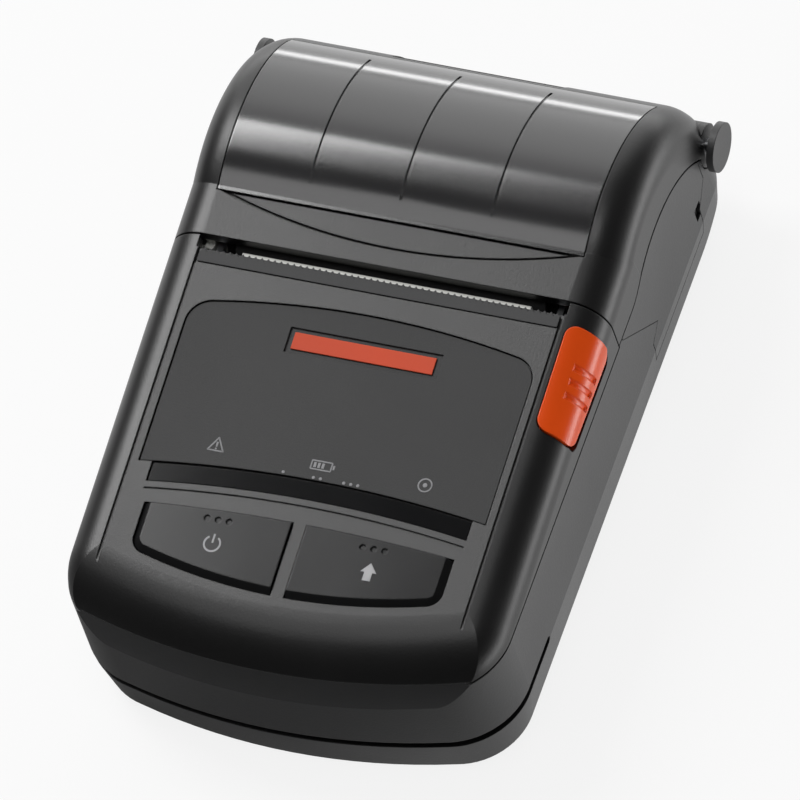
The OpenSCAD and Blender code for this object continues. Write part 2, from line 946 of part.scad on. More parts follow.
// The keys' bevelled upper part, from a wide foot to a narrow top
module keys_bevel(inset) {
  low = key_span / 2 - inset;
  high = low - key_bevel;
  translate([0, -key_d + 5, 0])
    rotate([90, 0, 0])
      linear_extrude(-key_d + 5 - key_rv)
        polygon([[-low, 0], [low, 0], [high, key_bevel_h], [-high, key_bevel_h]]);
  for (s = [-1, 1]) {
    translate([s * key_rx, key_rv, 0])
      cylinder(r1 = key_corner_r - inset, r2 = key_corner_r - inset - key_bevel, h = key_bevel_h);
  }
  intersection() {
    translate([0, key_mid, 0])
      cylinder(r1 = key_front_r - inset - skin, r2 = key_front_r - inset - skin - key_bevel, h = key_bevel_h,
        $fn = 720);
    linear_extrude(key_bevel_h)
      bow_wedge(key_rx, key_rv, key_mid);
  }
}

// One side of the rib between the keys: -1 left, 1 right
module key_side(side, inset) {
  x = key_mid_x + side * (key_rib / 2 + inset);
  translate([side > 0 ? x : x - big, -big / 2])
    square([big, big]);
}

module key(side) {
  x = key_mid_x + side * key_stem_x;
  shoulder = key_proud - key_bevel_h;
  flange = 0.8;
  on_deck() {
    difference() {
      union() {
        translate([0, 0, -wall - 0.1])
          linear_extrude(shoulder + wall + 0.1)
            intersection() {
              keys_outline(inset_gap);
              key_side(side, inset_gap);
            }
        intersection() {
          translate([0, 0, shoulder])
            keys_bevel(inset_gap);
          linear_extrude(2 * key_bevel_h, center = true)
            intersection() {
              keys_outline(inset_gap);
              key_side(side, inset_gap);
            }
        }
        translate([0, 0, -wall - 0.1 - flange])
          linear_extrude(flange)
            intersection() {
              keys_outline(-0.8);
              key_side(side, -0.8);
            }
        translate([x, key_v, -key_stem_l])
          cylinder(r = key_stem_r, h = key_stem_l - wall - 0.2);
      }
      // three marks to feel for
      for (k = [-1, 0, 1]) {
        translate([x + 2.05 * k, -key_d - 2.3, key_proud - 0.3])
          cylinder(r = 0.55, h = 1);
      }
    }
  }
}

module crease() {
  both_sides()
    translate([flat_x - crease_w / 2, corner_v - 6, -crease_depth])
      cube([crease_w, -corner_v + 6, 2]);
}

module upper_housing() {
  color([0.17, 0.17, 0.18])
    difference() {
      union() {
        on_deck()
          difference() {
            deck_slab(0, 4);
            deck_slab(wall, 6);
          }
        // posts for the housing screws
        intersection() {
          at_screws(boss_top + 0.05)
            cylinder(r = post_r, h = 60);
          on_deck()
            deck_slab(0.5, 4);
        }
        at_screws(boss_top + 0.05)
          cylinder(r = post_r, h = seam_z - boss_top);
      }
      difference() {
        below(seam_z);
        at_screws(0)
          cylinder(r = post_r, h = 60);
      }
      behind(slot_y - cover_gap);
      // the paper slot
      translate([-slot_w / 2, slot_y - slot_gap, deck_z - 12])
        cube([slot_w, 10, 20]);
      on_deck() {
        translate([0, 0, -panel_seat])
          linear_extrude(5)
            panel_outline(-inset_gap);
        translate([0, 0, -lens_t - 0.35])
          linear_extrude(5)
            lens_outline(-inset_gap / 2);
        for (x = guide_xs) {
          translate([x, guide_v(x), -5])
            cylinder(r = guide_r + 0.1, h = 5);
        }
        translate([0, 0, -5])
          linear_extrude(10)
            intersection() {
              keys_outline();
              union() {
                key_side(-1, 0);
                key_side(1, 0);
              }
            }
        crease();
        // the seat of the tear bar
        translate([-34.1, -slot_gap - 2.9, -tear_t])
          cube([68.2, 4, 2]);
        // a fine step before the keys
        linear_extrude(0.5, center = true)
          intersection() {
            difference() {
              lens_disc(-lens_h - 1.3);
              lens_disc(-lens_h - 1.6);
            }
            translate([-lens_w / 2, -big])
              square([lens_w, big]);
          }
      }
      // the open button's opening
      translate([0, 0, -0.3])
        button_prism(0.25);
      translate([0, 0, -open_travel - 0.3])
        button_prism(0);
      at_screws(0)
        cylinder(r = screw_r + skin, h = 16);
    }
}

guide_xs = [-guide_outer_x, -guide_pitch, 0, guide_pitch, guide_outer_x];
function guide_v(x) = -lens_d - lens_arc_r + sqrt(pow(lens_arc_r - lens_h / 2, 2) - x * x);

module control_panel() {
  color([0.24, 0.24, 0.25])
    on_deck()
      difference() {
        translate([0, 0, -panel_seat])
          linear_extrude(panel_t)
            panel_outline();
        translate([badge_x - badge_w / 2, -badge_d - badge_h / 2, panel_t - panel_seat - badge_depth])
          cube([badge_w, badge_h, 2]);
      }
}

module badge_inlay() {
  bar_w = badge_w - 2;
  bar_h = badge_h - 1.6;
  color([0.85, 0.25, 0.1])
    on_deck()
      translate([badge_x - bar_w / 2, -badge_d - bar_h / 2, panel_t - panel_seat - badge_depth])
        cube([bar_w, bar_h, badge_depth - 0.05]);
}

module indicator_lens() {
  color([0.05, 0.05, 0.05, 0.8])
    on_deck()
      translate([0, 0, -lens_t - 0.35])
        linear_extrude(lens_t)
          lens_outline(inset_gap / 2);
}

module light_guides() {
  top = -lens_t - 0.4;
  color([0.9, 0.9, 0.92, 0.6])
    on_deck() {
      for (x = guide_xs) {
        translate([x, guide_v(x), -8.4])
          cylinder(r = guide_r, h = 8.4 + top);
      }
      translate([-guide_outer_x, guide_v(guide_outer_x) - 0.7, -4.2])
        cube([2 * guide_outer_x, 1.4, 1]);
    }
}

led_y = 0.3;
led_l = 1.4;
chip_y = slot_y + guide_v(0) + led_y + led_l + 1.5;

module indicator_leds() {
  color([0.9, 0.85, 0.6])
    for (x = guide_xs) {
      translate([x - 1, slot_y + guide_v(x) + led_y, board_top])
        cube([2, led_l, 0.8]);
    }
}

module power_key() {
  color([0.14, 0.14, 0.15])
    key(-1);
}

module feed_key() {
  color([0.14, 0.14, 0.15])
    key(1);
}

key_foot = deck_height(slot_y + key_v) - key_stem_l / cos(deck_slope) - 0.3;

module key_switches() {
  size = 6;
  body_t = 2.4;
  color([0.7, 0.7, 0.72])
    for (side = [-1, 1]) {
      translate([key_mid_x + side * key_stem_x, slot_y + key_v + 0.9, board_top]) {
        translate([-size / 2, -size / 2, 0])
          cube([size, size, body_t]);
        cylinder(r = 1.5, h = key_foot - key_travel - board_top);
      }
    }
}

module open_button() {
  rib_r = 0.65;
  color([0.9, 0.28, 0.06])
    difference() {
      union() {
        intersection() {
          on_deck()
            difference() {
              deck_slab(-open_proud, 0);
              deck_slab(wall + 1.3, 2);
            }
          button_prism();
        }
        // the rim that keeps it in
        intersection() {
          on_deck()
            difference() {
              deck_slab(wall + 0.3, 0);
              deck_slab(wall + 1.3, 2);
            }
          button_prism(1);
        }
        // the foot on the release lever
        translate([lever_x + 0.2, lever_y - 8.4, lever_z + 2.7])
          cube([half_w - open_in - lever_x + 0.6, 2.4, 2.9]);
      }
      // grip grooves across the shoulder
      for (k = [-1, 0, 1]) {
        on_deck()
          intersection() {
            translate([flat_x, -open_d - open_l / 2 + 2.7 * k, -shoulder_r])
              rotate([90, 0, 0])
                rotate_extrude()
                  translate([shoulder_r + open_proud + 0.15, 0])
                    circle(r = rib_r, $fn = 32);
            translate([flat_x + 4.4, -big / 2, -6.2])
              cube([10, big, 20]);
          }
      }
    }
}

module open_spring() {
  turns = 4;
  step = 0.75;
  leaf = 0.3;
  half = 1.6;
  color([0.7, 0.7, 0.72])
    along_x(half_w - open_in - 0.8, half_w - open_in + 1.2)
      translate([lever_y - 12, lever_z - 9.5])
        for (k = [0:turns - 1]) {
          translate([0, 2 * step * k])
            polygon([[-half, 0], [half, step], [half, step + leaf], [-half, leaf]]);
          translate([0, 2 * step * k])
            polygon([[half, step], [half, step + leaf], [-half, 2 * step + leaf], [-half, 2 * step]]);
        }
}

module release_lever() {
  color([0.75, 0.75, 0.77])
    along_x(lever_x, lever_x + lever_t)
      difference() {
        union() {
          translate([lever_y, lever_z])
            circle(r = 2.2);
          translate([lever_y, lever_z])
            polygon([[0, 2.2], [-8.4, 2.4], [-8.4, 0.6], [0, -2.2], [7.4, -4.3], [10.6, -3.8],
              [10.6, -2.2], [7.4, -1.9]]);
        }
        translate([lever_y, lever_z])
          circle(r = pivot_r + run_gap);
      }
}

// The cover's arm beside the platen, seen from the side
module cover_arm() {
  translate([platen_y, platen_z])
    circle(r = 3.4);
  polygon([[platen_y - 2.8, platen_z], [platen_y + 3.4, platen_z], [platen_y + 4.2, platen_z + 5],
    [platen_y + 4.2, deck_z + 2], [platen_y - 2.8, deck_z + 2]]);
}

module window_region(inset = 0) {
  difference() {
    translate([-window_w / 2 + inset, window_y + inset, hinge_z])
      cube([window_w - 2 * inset, big, big]);
    translate([0, bar_y, bar_z])
      rotate([-window_end, 0, 0])
        translate([-big / 2, -inset, -big / 2])
          cube([big, big, big]);
  }
}

module paper_cover() {
  color([0.16, 0.16, 0.17])
    difference() {
      union() {
        difference() {
          cover_form();
          cover_form(wall);
          across()
            difference() {
              union() {
                under_seam(cover_gap);
                translate([arch_y, -5])
                  square([big, hinge_z + 5]);
              }
              translate([hinge_y, hinge_z])
                circle(r = knuckle_r + 0.05);
            }
        }
        bar_x(knuckle_r - 0.05, -barrel_half, barrel_half, hinge_y, hinge_z);
        both_sides()
          bar_x(knuckle_r - 0.05, knuckle_in, half_w - 0.5, hinge_y, hinge_z);
        intersection() {
          both_sides()
            along_x(arm_in, arm_out)
              cover_arm();
          cover_form(wall - 0.4);
        }
        // low ribs that stiffen the roof before the window
        intersection() {
          for (x = [-16, 0, 16]) {
            translate([x - 0.6, slot_y + 3.6, hinge_z])
              cube([1.2, 4.6, 60]);
          }
          difference() {
            cover_form(wall - 0.4);
            cover_form(wall + 0.5);
          }
        }
      }
      // the window's seat and the opening under it
      intersection() {
        window_region(-inset_gap);
        difference() {
          cover_form(-1);
          cover_form(window_t);
        }
      }
      intersection() {
        window_region(window_ledge);
        cover_form(-1);
      }
      // the finger lip before the window
      on_deck()
        intersection() {
          translate([0, window_d + lip_r - lip_l, 0])
            rotate_extrude($fn = 720)
              polygon([[lip_r - 2 * lip_l, -lip_dip], [lip_r - lip_gap, -lip_dip], [lip_r - lip_gap, -lip_depth],
                [lip_r, -lip_depth], [lip_r, 3], [lip_r - 2 * lip_l, 3]]);
          translate([0.4 - window_w / 2, 0, -5])
            cube([window_w - 0.8, window_d + 0.6, 10]);
        }
      // the thumb recess behind the window
      translate([0, bar_y, bar_z])
        intersection() {
          rotate([0, 90, 0])
            difference() {
              cylinder(r = barrel_r + 1, h = recess_w, center = true);
              cylinder(r = barrel_r - recess_depth, h = recess_w + 2, center = true);
            }
          rotate([-recess_from, 0, 0])
            translate([-big / 2, 0, 0])
              cube([big, big, big]);
          rotate([-recess_to, 0, 0])
            translate([-big / 2, -big, 0])
              cube([big, big, big]);
        }
      // notches round the hinge towers
      both_sides()
        bar_x(sweep_r, barrel_half, notch_out, hinge_y, hinge_z);
      bar_x(pin_r + run_gap, -half_w - 1, half_w + 1, hinge_y, hinge_z);
      // the platen bushings
      bar_x(2.22, -arm_out - 1, arm_out + 1, platen_y, platen_z);
      // room for the platen gear
      bar_x(platen_tip_r + gear_room, -layer_1 - gear_t - gear_room, gear_room / 2 - layer_1, platen_y, platen_z);
    }
}

module cover_window() {
  color([0.1, 0.1, 0.11, 0.6])
    difference() {
      intersection() {
        window_region();
        difference() {
          cover_form();
          cover_form(window_t - skin);
        }
      }
      intersection() {
        for (k = [-1, 0, 1]) {
          translate([k * rib_pitch - rib_w / 2 - 0.9, 0, 0])
            cube([rib_w, big, big]);
        }
        window_region(rib_end);
        difference() {
          cover_form(-1);
          cover_form(rib_depth);
        }
      }
    }
}

module hinge_pin() {
  color([0.75, 0.75, 0.77])
    bar_x(pin_r, -half_w - stud_neck_l, half_w + stud_neck_l, hinge_y, hinge_z);
}

module strap_stud() {
  neck_x = half_w + 0.3;
  difference() {
    union() {
      bar_x(stud_neck_r, neck_x, half_w + stud_neck_l, hinge_y, hinge_z);
      bar_x(stud_r, half_w + stud_neck_l, half_w + stud_neck_l + stud_t, hinge_y, hinge_z);
    }
    bar_x(pin_r + skin / 2, neck_x - 1, half_w + stud_neck_l + skin, hinge_y, hinge_z);
  }
}

module strap_stud_right() {
  color([0.2, 0.2, 0.21])
    strap_stud();
}

module strap_stud_left() {
  color([0.2, 0.2, 0.21])
    mirror([1, 0, 0])
      strap_stud();
}

module tear_bar() {
  tooth = 67.2 / tear_teeth;
  deep = 0.7;
  color([0.72, 0.72, 0.74])
    on_deck()
      translate([-33.6, -slot_gap, -tear_t + 0.02])
        linear_extrude(tear_t)
          polygon([each [for (k = [0:tear_teeth - 1]) each [[k * tooth, -deep], [(k + 0.5) * tooth, 0]]],
            [67.2, -deep], [67.2, -2.7], [0, -2.7]]);
}

// A gear in its plane, one tooth pointing along +X; the teeth are involute with a little play
module gear(teeth) {
  pr = gear_m * teeth / 2;
  base_r = pr * cos(20);
  tip_r = pr + 0.85 * gear_m;
  root_r = pr - 1.15 * gear_m;
  degrees = 180 / PI;
  half = 90 / teeth - degrees * tooth_play / pr;
  inv = tan(20) * degrees - 20;
  low = max(base_r, root_r + skin);
  steps = 4;
  radii = [for (k = [0:steps]) low + (tip_r - low) * k / steps];
  function flank(r) = let (a = acos(min(1, base_r / r))) half + inv - tan(a) * degrees + a;
  function at(r, a) = [r * cos(a), r * sin(a)];
  polygon([for (t = [0:teeth - 1]) let (c = 360 * t / teeth) each [
    at(root_r, c - flank(low)),
    for (k = [0:steps]) at(radii[k], c - flank(radii[k])),
    for (k = [steps:-1:0]) at(radii[k], c + flank(radii[k])),
    at(root_r, c + flank(low))]]);
}

// A gear on the left side, with one tooth turned to the given angle in the Y-Z plane
module gear_at(teeth, bore, layer, y, z, angle) {
  along_x(-layer - gear_t, -layer)
    translate([y, z])
      difference() {
        rotate(angle)
          gear(teeth);
        circle(r = bore);
      }
}

module platen_gear() {
  color([0.85, 0.85, 0.82])
    gear_at(platen_teeth, shaft_r + skin / 2, layer_1, platen_y, platen_z, mesh_1);
}

module idler_gear() {
  color([0.85, 0.85, 0.82]) {
    gear_at(small_teeth, pivot_r + run_gap, layer_1, idler_y, idler_z, mesh_1 - 180 + 180 / small_teeth);
    gear_at(large_teeth, pivot_r + run_gap, layer_2, idler_y, idler_z, mesh_2);
    along_x(-layer_2 - skin, -layer_1 - gear_t + skin)
      translate([idler_y, idler_z])
        difference() {
          circle(r = 2.2);
          circle(r = pivot_r + run_gap);
        }
  }
}

module motor_pinion() {
  color([0.8, 0.7, 0.4]) {
    gear_at(pinion_teeth, 0.7, layer_2, motor_y, motor_z, mesh_2 - 180 + 180 / pinion_teeth);
    bar_x(0.75, -layer_end - 0.4, -plate_in + 1.6, motor_y, motor_z);
  }
}

module idler_pin() {
  color([0.75, 0.75, 0.77])
    bar_x(pivot_r, -layer_end - 0.6, -plate_in, idler_y, idler_z);
}

module paper_motor() {
  color([0.6, 0.6, 0.62])
    difference() {
      union() {
        bar_x(motor_r, -plate_in, -plate_in + motor_l, motor_y, motor_z);
        bar_x(2.4, -plate_out, -plate_in + 1, motor_y, motor_z);
        bar_x(2, -plate_in + motor_l - 1, -plate_in + motor_l + 1.2, motor_y, motor_z);
      }
      bar_x(0.75 + run_gap, -plate_out - 1, -plate_in + 2, motor_y, motor_z);
    }
}

module platen_shaft() {
  color([0.78, 0.78, 0.8])
    bar_x(shaft_r, -layer_1 - gear_t, layer_1 + 1.6, platen_y, platen_z);
}

module platen_roller() {
  color([0.1, 0.1, 0.1])
    difference() {
      bar_x(platen_r, -platen_l / 2, platen_l / 2, platen_y, platen_z);
      bar_x(shaft_r + skin / 2, -big, big, platen_y, platen_z);
    }
}

module platen_bushings() {
  color([0.9, 0.9, 0.88])
    both_sides()
      difference() {
        union() {
          bar_x(2.2, arm_in + 0.1, plate_in, platen_y, platen_z);
          bar_x(bush_r, arm_out + 0.1, plate_out, platen_y, platen_z);
        }
        bar_x(shaft_r + run_gap, 0, big, platen_y, platen_z);
      }
}

// A side plate of the mechanism's frame, seen from the side
module side_plate() {
  top = platen_z + 2.6;
  difference() {
    polygon([[frame_front, frame_floor], [slot_y + 5.4, frame_floor], [platen_y + 5.6, frame_floor + 6],
      [platen_y + 5.6, platen_z], [platen_y + 4.9, top], [platen_y - 5, top],
      [lever_y - 1, platen_z + 1.8], [frame_front + 4, platen_z - 2.2], [frame_front, platen_z - 8]]);
    translate([platen_y, platen_z]) {
      circle(r = bush_r + 0.15);
      rotate(swing_dir)
        polygon([[0, bush_r + 0.15], [0, -bush_r - 0.15], [12, -bush_r - 3.2], [12, bush_r + 0.15]]);
    }
    translate([pivot_y, pivot_z])
      circle(r = pivot_r + run_gap);
  }
}

module mechanism_frame() {
  color([0.72, 0.73, 0.75])
    difference() {
      union() {
        both_sides()
          along_x(plate_in, plate_out)
            side_plate();
        translate([-plate_out, frame_front, frame_floor])
          cube([2 * plate_out, slot_y + 5.4 - frame_front, frame_t]);
        // the bar behind the head spring, and its wall
        translate([-plate_out, spring_bar_y, platen_z - 2.4])
          cube([2 * plate_out, frame_t, 4.2]);
        translate([-8, spring_bar_y, frame_floor])
          cube([plate_out + 8, frame_t, platen_z - frame_floor]);
        bar_x(pivot_r, plate_in + 0.2, lever_x + lever_t + 0.4, lever_y, lever_z);
      }
      bar_x(2.45, -plate_out - 1, -plate_in + 1, motor_y, motor_z);
      bar_x(pivot_r + skin / 2, -plate_out - 1, -plate_in + 0.1, idler_y, idler_z);
      at_posts(frame_floor - 1)
        cylinder(r = frame_screw_r + 0.25, h = 4);
      // a window in the wall for the ribbon cable
      translate([4, spring_bar_y - 1, frame_floor + 3])
        cube([18, 4, 6]);
    }
}

module print_head() {
  color([0.92, 0.92, 0.9]) {
    translate([-head_w / 2, sink_y, head_low])
      cube([head_w, head_t, head_top - head_low]);
  }
}

module head_heatsink() {
  slots = 11;
  color([0.65, 0.66, 0.68])
    difference() {
      union() {
        translate([-head_w / 2, sink_y - sink_t, pivot_z - 1])
          cube([head_w, sink_t, head_top - 0.6 - pivot_z + 1]);
        bar_x(pivot_r, -plate_out + 0.1, plate_out - 0.1, pivot_y, pivot_z);
        both_sides()
          bar_x(1.6, head_w / 2 - 1, plate_in - 0.3, pivot_y, pivot_z);
      }
      // cooling grooves in the back
      for (k = [0:slots - 1]) {
        translate([-head_w / 2 + 4 + k * (head_w - 9) / (slots - 1), sink_y - sink_t - 1, pivot_z + 2])
          cube([1.6, 2.2, 5]);
      }
    }
}

module head_spring() {
  y0 = spring_bar_y + frame_t;
  y1 = sink_y - sink_t - 0.45;
  color([0.7, 0.72, 0.75])
    along_x(-11, 11)
      translate([0, platen_z])
        polygon([[y0, -2.2], [y0 + 0.3, -2.2], [y0 + 0.3, 0.05], [y1 - 0.3, -1.75], [y1 - 0.3, -2.6],
          [y1, -2.6], [y1, -1.5], [y0, 0.6]]);
}

module paper_sensor() {
  color([0.12, 0.12, 0.13])
    translate([8, platen_y - 2.2, platen_z - 6.8])
      difference() {
        cube([5, 4, 1.6]);
        translate([1, 1, 1.3])
          cube([1, 2, 1]);
        translate([3, 1, 1.3])
          cube([1, 2, 1]);
      }
}

module paper_tray() {
  color([0.15, 0.15, 0.16]) {
    along_x(-tray_w / 2, tray_w / 2)
      intersection() {
        difference() {
          translate([roll_y, roll_z])
            circle(r = tray_out);
          translate([roll_y, roll_z])
            circle(r = tray_r);
        }
        polygon([[roll_y - 30, roll_z + 4.4], [roll_y - 10, roll_z + 4.4], [roll_y - 10, roll_z - 10],
          [tray_end, roll_z - 10], [tray_end, -5], [roll_y - 30, -5]]);
      }
    both_sides()
      along_x(tray_w / 2 - skin, tray_w / 2 + tray_t)
        intersection() {
          translate([roll_y, roll_z])
            circle(r = tray_out);
          translate([roll_y - 30, 0])
            square([tray_end - roll_y + 30, roll_z - 1]);
        }
    // the guide that leads the paper under the platen
    along_x(-tray_w / 2, tray_w / 2)
      polygon([[platen_y - 2.7, platen_z - 8], [roll_y - tray_r - 0.6, platen_z - 8],
        [roll_y - tray_r + 0.1, platen_z - 6.8], [platen_y - 2.7, platen_z - 6.8]]);
  }
}

module circuit_board() {
  color([0.1, 0.35, 0.2])
    difference() {
      intersection() {
        translate([-board_x, board_y, board_z])
          cube([2 * board_x, board_l, board_t]);
        translate([0, 0, board_z])
          linear_extrude(board_t)
            body_outline(wall + 1);
      }
      for (x = [-peg_xs, peg_xs], y = peg_ys) {
        translate([x, y, board_z - 1])
          cylinder(r = 0.95, h = 4);
      }
      at_screws(board_z - 1)
        cylinder(r = post_r + 0.6, h = 4);
    }
}

module board_parts() {
  color([0.08, 0.08, 0.09]) {
    translate([-6, chip_y, board_top])
      cube([12, 12, 1.4]);
    translate([11, chip_y, board_top])
      cube([9, 7, 1.1]);
    translate([-21, chip_y, board_top])
      cube([7, 5, 1.1]);
    translate([-4, board_y + board_l - 5, board_top])
      cube([24, 4, 3.4]);
    translate([-24, board_y + board_l - 8, board_top])
      cube([8, 5, 4]);
    for (x = [-12, -9, 22, 25]) {
      translate([x, chip_y + 6.6, board_top])
        cube([1.6, 1, 0.8]);
    }
  }
}

module battery_pack() {
  edge = 1.4;
  x = pack_w / 2;
  color([0.13, 0.13, 0.14])
    difference() {
      translate([0, pack_y + pack_l, pack_up])
        rotate([90, 0, 0])
          linear_extrude(pack_l) {
            translate([-x, 0])
              square([2 * x, pack_h - edge]);
            translate([edge - x, 0])
              square([2 * (x - edge), pack_h]);
            for (s = [-1, 1]) {
              translate([s * (x - edge), pack_h - edge])
                circle(r = edge);
            }
          }
      // the recess for a finger, and the contact pockets, open at the top because the pack slides down
      translate([0, pack_y + 9, pack_up - 13.4])
        rotate([0, 90, 0])
          rotate([0, 0, 90])
            cylinder(r = 15, h = 22, center = true);
      for (k = [0:3]) {
        translate([-8.5 + 4.6 * k, pack_y - 1, pack_up + 7])
          cube([3.2, 2, pack_h]);
      }
      // the notch for the latch's tongue
      translate([-5, pack_y + pack_l - 1, pack_up - 1])
        cube([10, 2, 2.6]);
    }
}

module battery_contacts() {
  color([0.85, 0.7, 0.35])
    for (k = [0:3]) {
      translate([-7.7 + 4.6 * k, 0, pack_up])
        along_x(0, 1.6)
          polygon([[bay_front, 8], [bay_front, 13.2], [bay_front + 0.35, 13.2], [bay_front + 0.35, 11.8],
            [pack_y + 0.4, 10.6], [bay_front + 0.35, 9.4], [bay_front + 0.35, 8]]);
    }
}

module battery_latch() {
  color([0.12, 0.12, 0.13])
    difference() {
      union() {
        translate([-latch_w / 2, latch_y, 0.2])
          cube([latch_w, latch_l, floor_t - 0.1]);
        translate([-latch_w / 2 - 1, latch_y, floor_t + 0.05])
          cube([latch_w + 2, latch_l, 0.9]);
        translate([-4, pack_y + pack_l + 0.1, 0.5])
          cube([8, latch_y - pack_y - pack_l + 0.4, 1]);
      }
      for (k = [0:3]) {
        translate([-5, latch_y + 1.4 + 1.2 * k, -0.2])
          cube([10, 0.6, 0.8]);
      }
    }
}

module side_door() {
  knuckles = [[1, 7], [11, 17], [20.3, 25.3]];
  color([0.2, 0.2, 0.21])
    difference() {
      union() {
        intersection() {
          along_x(door_in, half_w + 1)
            intersection() {
              door_outline();
              under_seam();
              translate([hinge_y - big, 0])
                square([big - knuckle_r - cover_gap - 0.2, big]);
            }
          translate([0, rear_cy + 2, 0])
            rotate([90, 0, 0])
              linear_extrude(rear_cy + 4)
                polygon([[30, 0], [half_w - base_inset, 0], [half_w, base_z], [half_w, 40], [30, 40]]);
        }
        for (k = knuckles) {
          bar_y(door_knuckle_r, door_front + k[0], door_front + k[1], door_pin_x, door_pin_z);
        }
      }
      bar_y(door_pin_r + run_gap, door_front - 1, door_rear + 10, door_pin_x, door_pin_z);
      // the notch to open it by
      translate([half_w - 0.7, door_rear - 1.2, 11.6])
        cube([2, 2.6, 3.2]);
    }
}

module door_pin() {
  color([0.75, 0.75, 0.77])
    bar_y(door_pin_r, door_front - 1.2, door_rear + 1.2, door_pin_x, door_pin_z);
}

module power_socket() {
  color([0.06, 0.06, 0.07])
    difference() {
      union() {
        translate([port_x - 4.9, jack_y - 4.2, jack_z - 4.2])
          cube([4.85, 8.4, 8.4]);
        bar_x(2.9, port_x - 1, port_x + port_t, jack_y, jack_z);
      }
      difference() {
        bar_x(2.2, port_x - 3.8, port_x + port_t + 1, jack_y, jack_z);
        bar_x(0.6, port_x - 5, port_x + port_t - 0.4, jack_y, jack_z);
      }
    }
}

module data_socket() {
  color([0.75, 0.75, 0.77])
    difference() {
      translate([port_x - 4.9, usb_y - 3.75, usb_z - 1.75])
        cube([4.9 + port_t, 7.5, 3.5]);
      translate([port_x - 4.2, usb_y - 3.4, usb_z - 1.4])
        difference() {
          cube([8, 6.8, 2.8]);
          translate([-1, 0.9, 1.5])
            cube([4.6, 5, 0.6]);
        }
    }
}

// The cross in a screw's head
module cross_slot(l, deep) {
  translate([-l / 2, -0.25, 0])
    cube([l, 0.5, deep]);
  translate([-0.25, -l / 2, 0])
    cube([0.5, l, deep]);
}

module housing_screws() {
  color([0.3, 0.3, 0.32])
    at_screws(screw_head_z)
      difference() {
        union() {
          translate([0, 0, -1.6])
            cylinder(r = screw_head_r, h = 1.6);
          translate([0, 0, -0.1])
            cylinder(r = screw_r, h = 11);
        }
        translate([0, 0, -2])
          cross_slot(2.4, 1.2);
      }
}

module frame_screws() {
  color([0.6, 0.6, 0.62])
    at_posts(frame_floor + frame_t) {
      difference() {
        cylinder(r = 1.7, h = 1.1);
        translate([0, 0, 0.5])
          cross_slot(2, 1);
      }
      translate([0, 0, -frame_t - 5])
        cylinder(r = frame_screw_r, h = frame_t + 5.1);
    }
}

lower_housing();
upper_housing();
paper_cover();
cover_window();
control_panel();
badge_inlay();
indicator_lens();
light_guides();
indicator_leds();
power_key();
feed_key();
key_switches();
open_button();
open_spring();
release_lever();
hinge_pin();
strap_stud_right();
strap_stud_left();
tear_bar();
mechanism_frame();
print_head();
head_heatsink();
head_spring();
platen_shaft();
platen_roller();
platen_bushings();
platen_gear();
idler_gear();
idler_pin();
motor_pinion();
paper_motor();
paper_sensor();
paper_tray();
circuit_board();
board_parts();
battery_pack();
battery_contacts();
battery_latch();
side_door();
door_pin();
power_socket();
data_socket();
housing_screws();
frame_screws();
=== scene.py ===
# %% [markdown]
# # A portable receipt printer, dressed around its CAD frame
#
# The construction comes packed from CAD: every shell, gear and spring is already a solid in its place.
# This script only looks after what the eye sees: the finish of each solid, the small printed and
# moulded marks, the light and the camera. Everything is in metres, in the frame of the CAD part:
# X runs across the printer, Y from its nose to the hinge of the paper cover, Z up from the table.

import json
import math

import bmesh
import bpy
from mathutils import Matrix, Vector


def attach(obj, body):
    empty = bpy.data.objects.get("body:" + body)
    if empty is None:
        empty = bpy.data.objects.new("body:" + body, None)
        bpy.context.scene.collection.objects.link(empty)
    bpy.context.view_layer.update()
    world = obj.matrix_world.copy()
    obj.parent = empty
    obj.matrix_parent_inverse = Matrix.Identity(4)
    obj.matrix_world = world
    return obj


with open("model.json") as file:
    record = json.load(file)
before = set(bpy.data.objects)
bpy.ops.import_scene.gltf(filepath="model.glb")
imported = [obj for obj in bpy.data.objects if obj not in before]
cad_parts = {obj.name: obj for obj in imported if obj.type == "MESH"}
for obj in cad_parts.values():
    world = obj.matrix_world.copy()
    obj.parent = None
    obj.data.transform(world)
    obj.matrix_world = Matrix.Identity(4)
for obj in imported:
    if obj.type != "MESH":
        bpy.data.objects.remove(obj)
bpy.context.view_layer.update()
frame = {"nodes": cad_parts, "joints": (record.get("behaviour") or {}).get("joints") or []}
nodes = frame["nodes"]
MM = 0.001

# %% [markdown]
# ## The camera
#
# The photograph was taken from the front right and well above, with a long lens, and the camera was
# tilted sideways, so the printer stands askew in the picture. A camera could be moved by hand until
# the picture looks right. Here the angles were found by fitting the edges and the outline of the
# printer, which is more exact. A camera looks along its own -Z, so its three axes are worked out first
# and become the columns of its rotation.

# %% Camera
AZIMUTH = math.radians(36.16)
ELEVATION = math.radians(56.56)
ROLL = math.radians(-20.77)
DISTANCE = 5.845
LENS = 1511.7
AIM_AT = Vector((0, -2.4, 20)) * MM
OFF_CENTRE = (3.74 * MM, 0.22 * MM)

towards = Vector((math.sin(AZIMUTH) * math.cos(ELEVATION),
                  -math.cos(AZIMUTH) * math.cos(ELEVATION), math.sin(ELEVATION)))
level = Vector((math.cos(AZIMUTH), math.sin(AZIMUTH), 0))
upright = towards.cross(level)
right = level * math.cos(ROLL) + upright * math.sin(ROLL)
up = upright * math.cos(ROLL) - level * math.sin(ROLL)

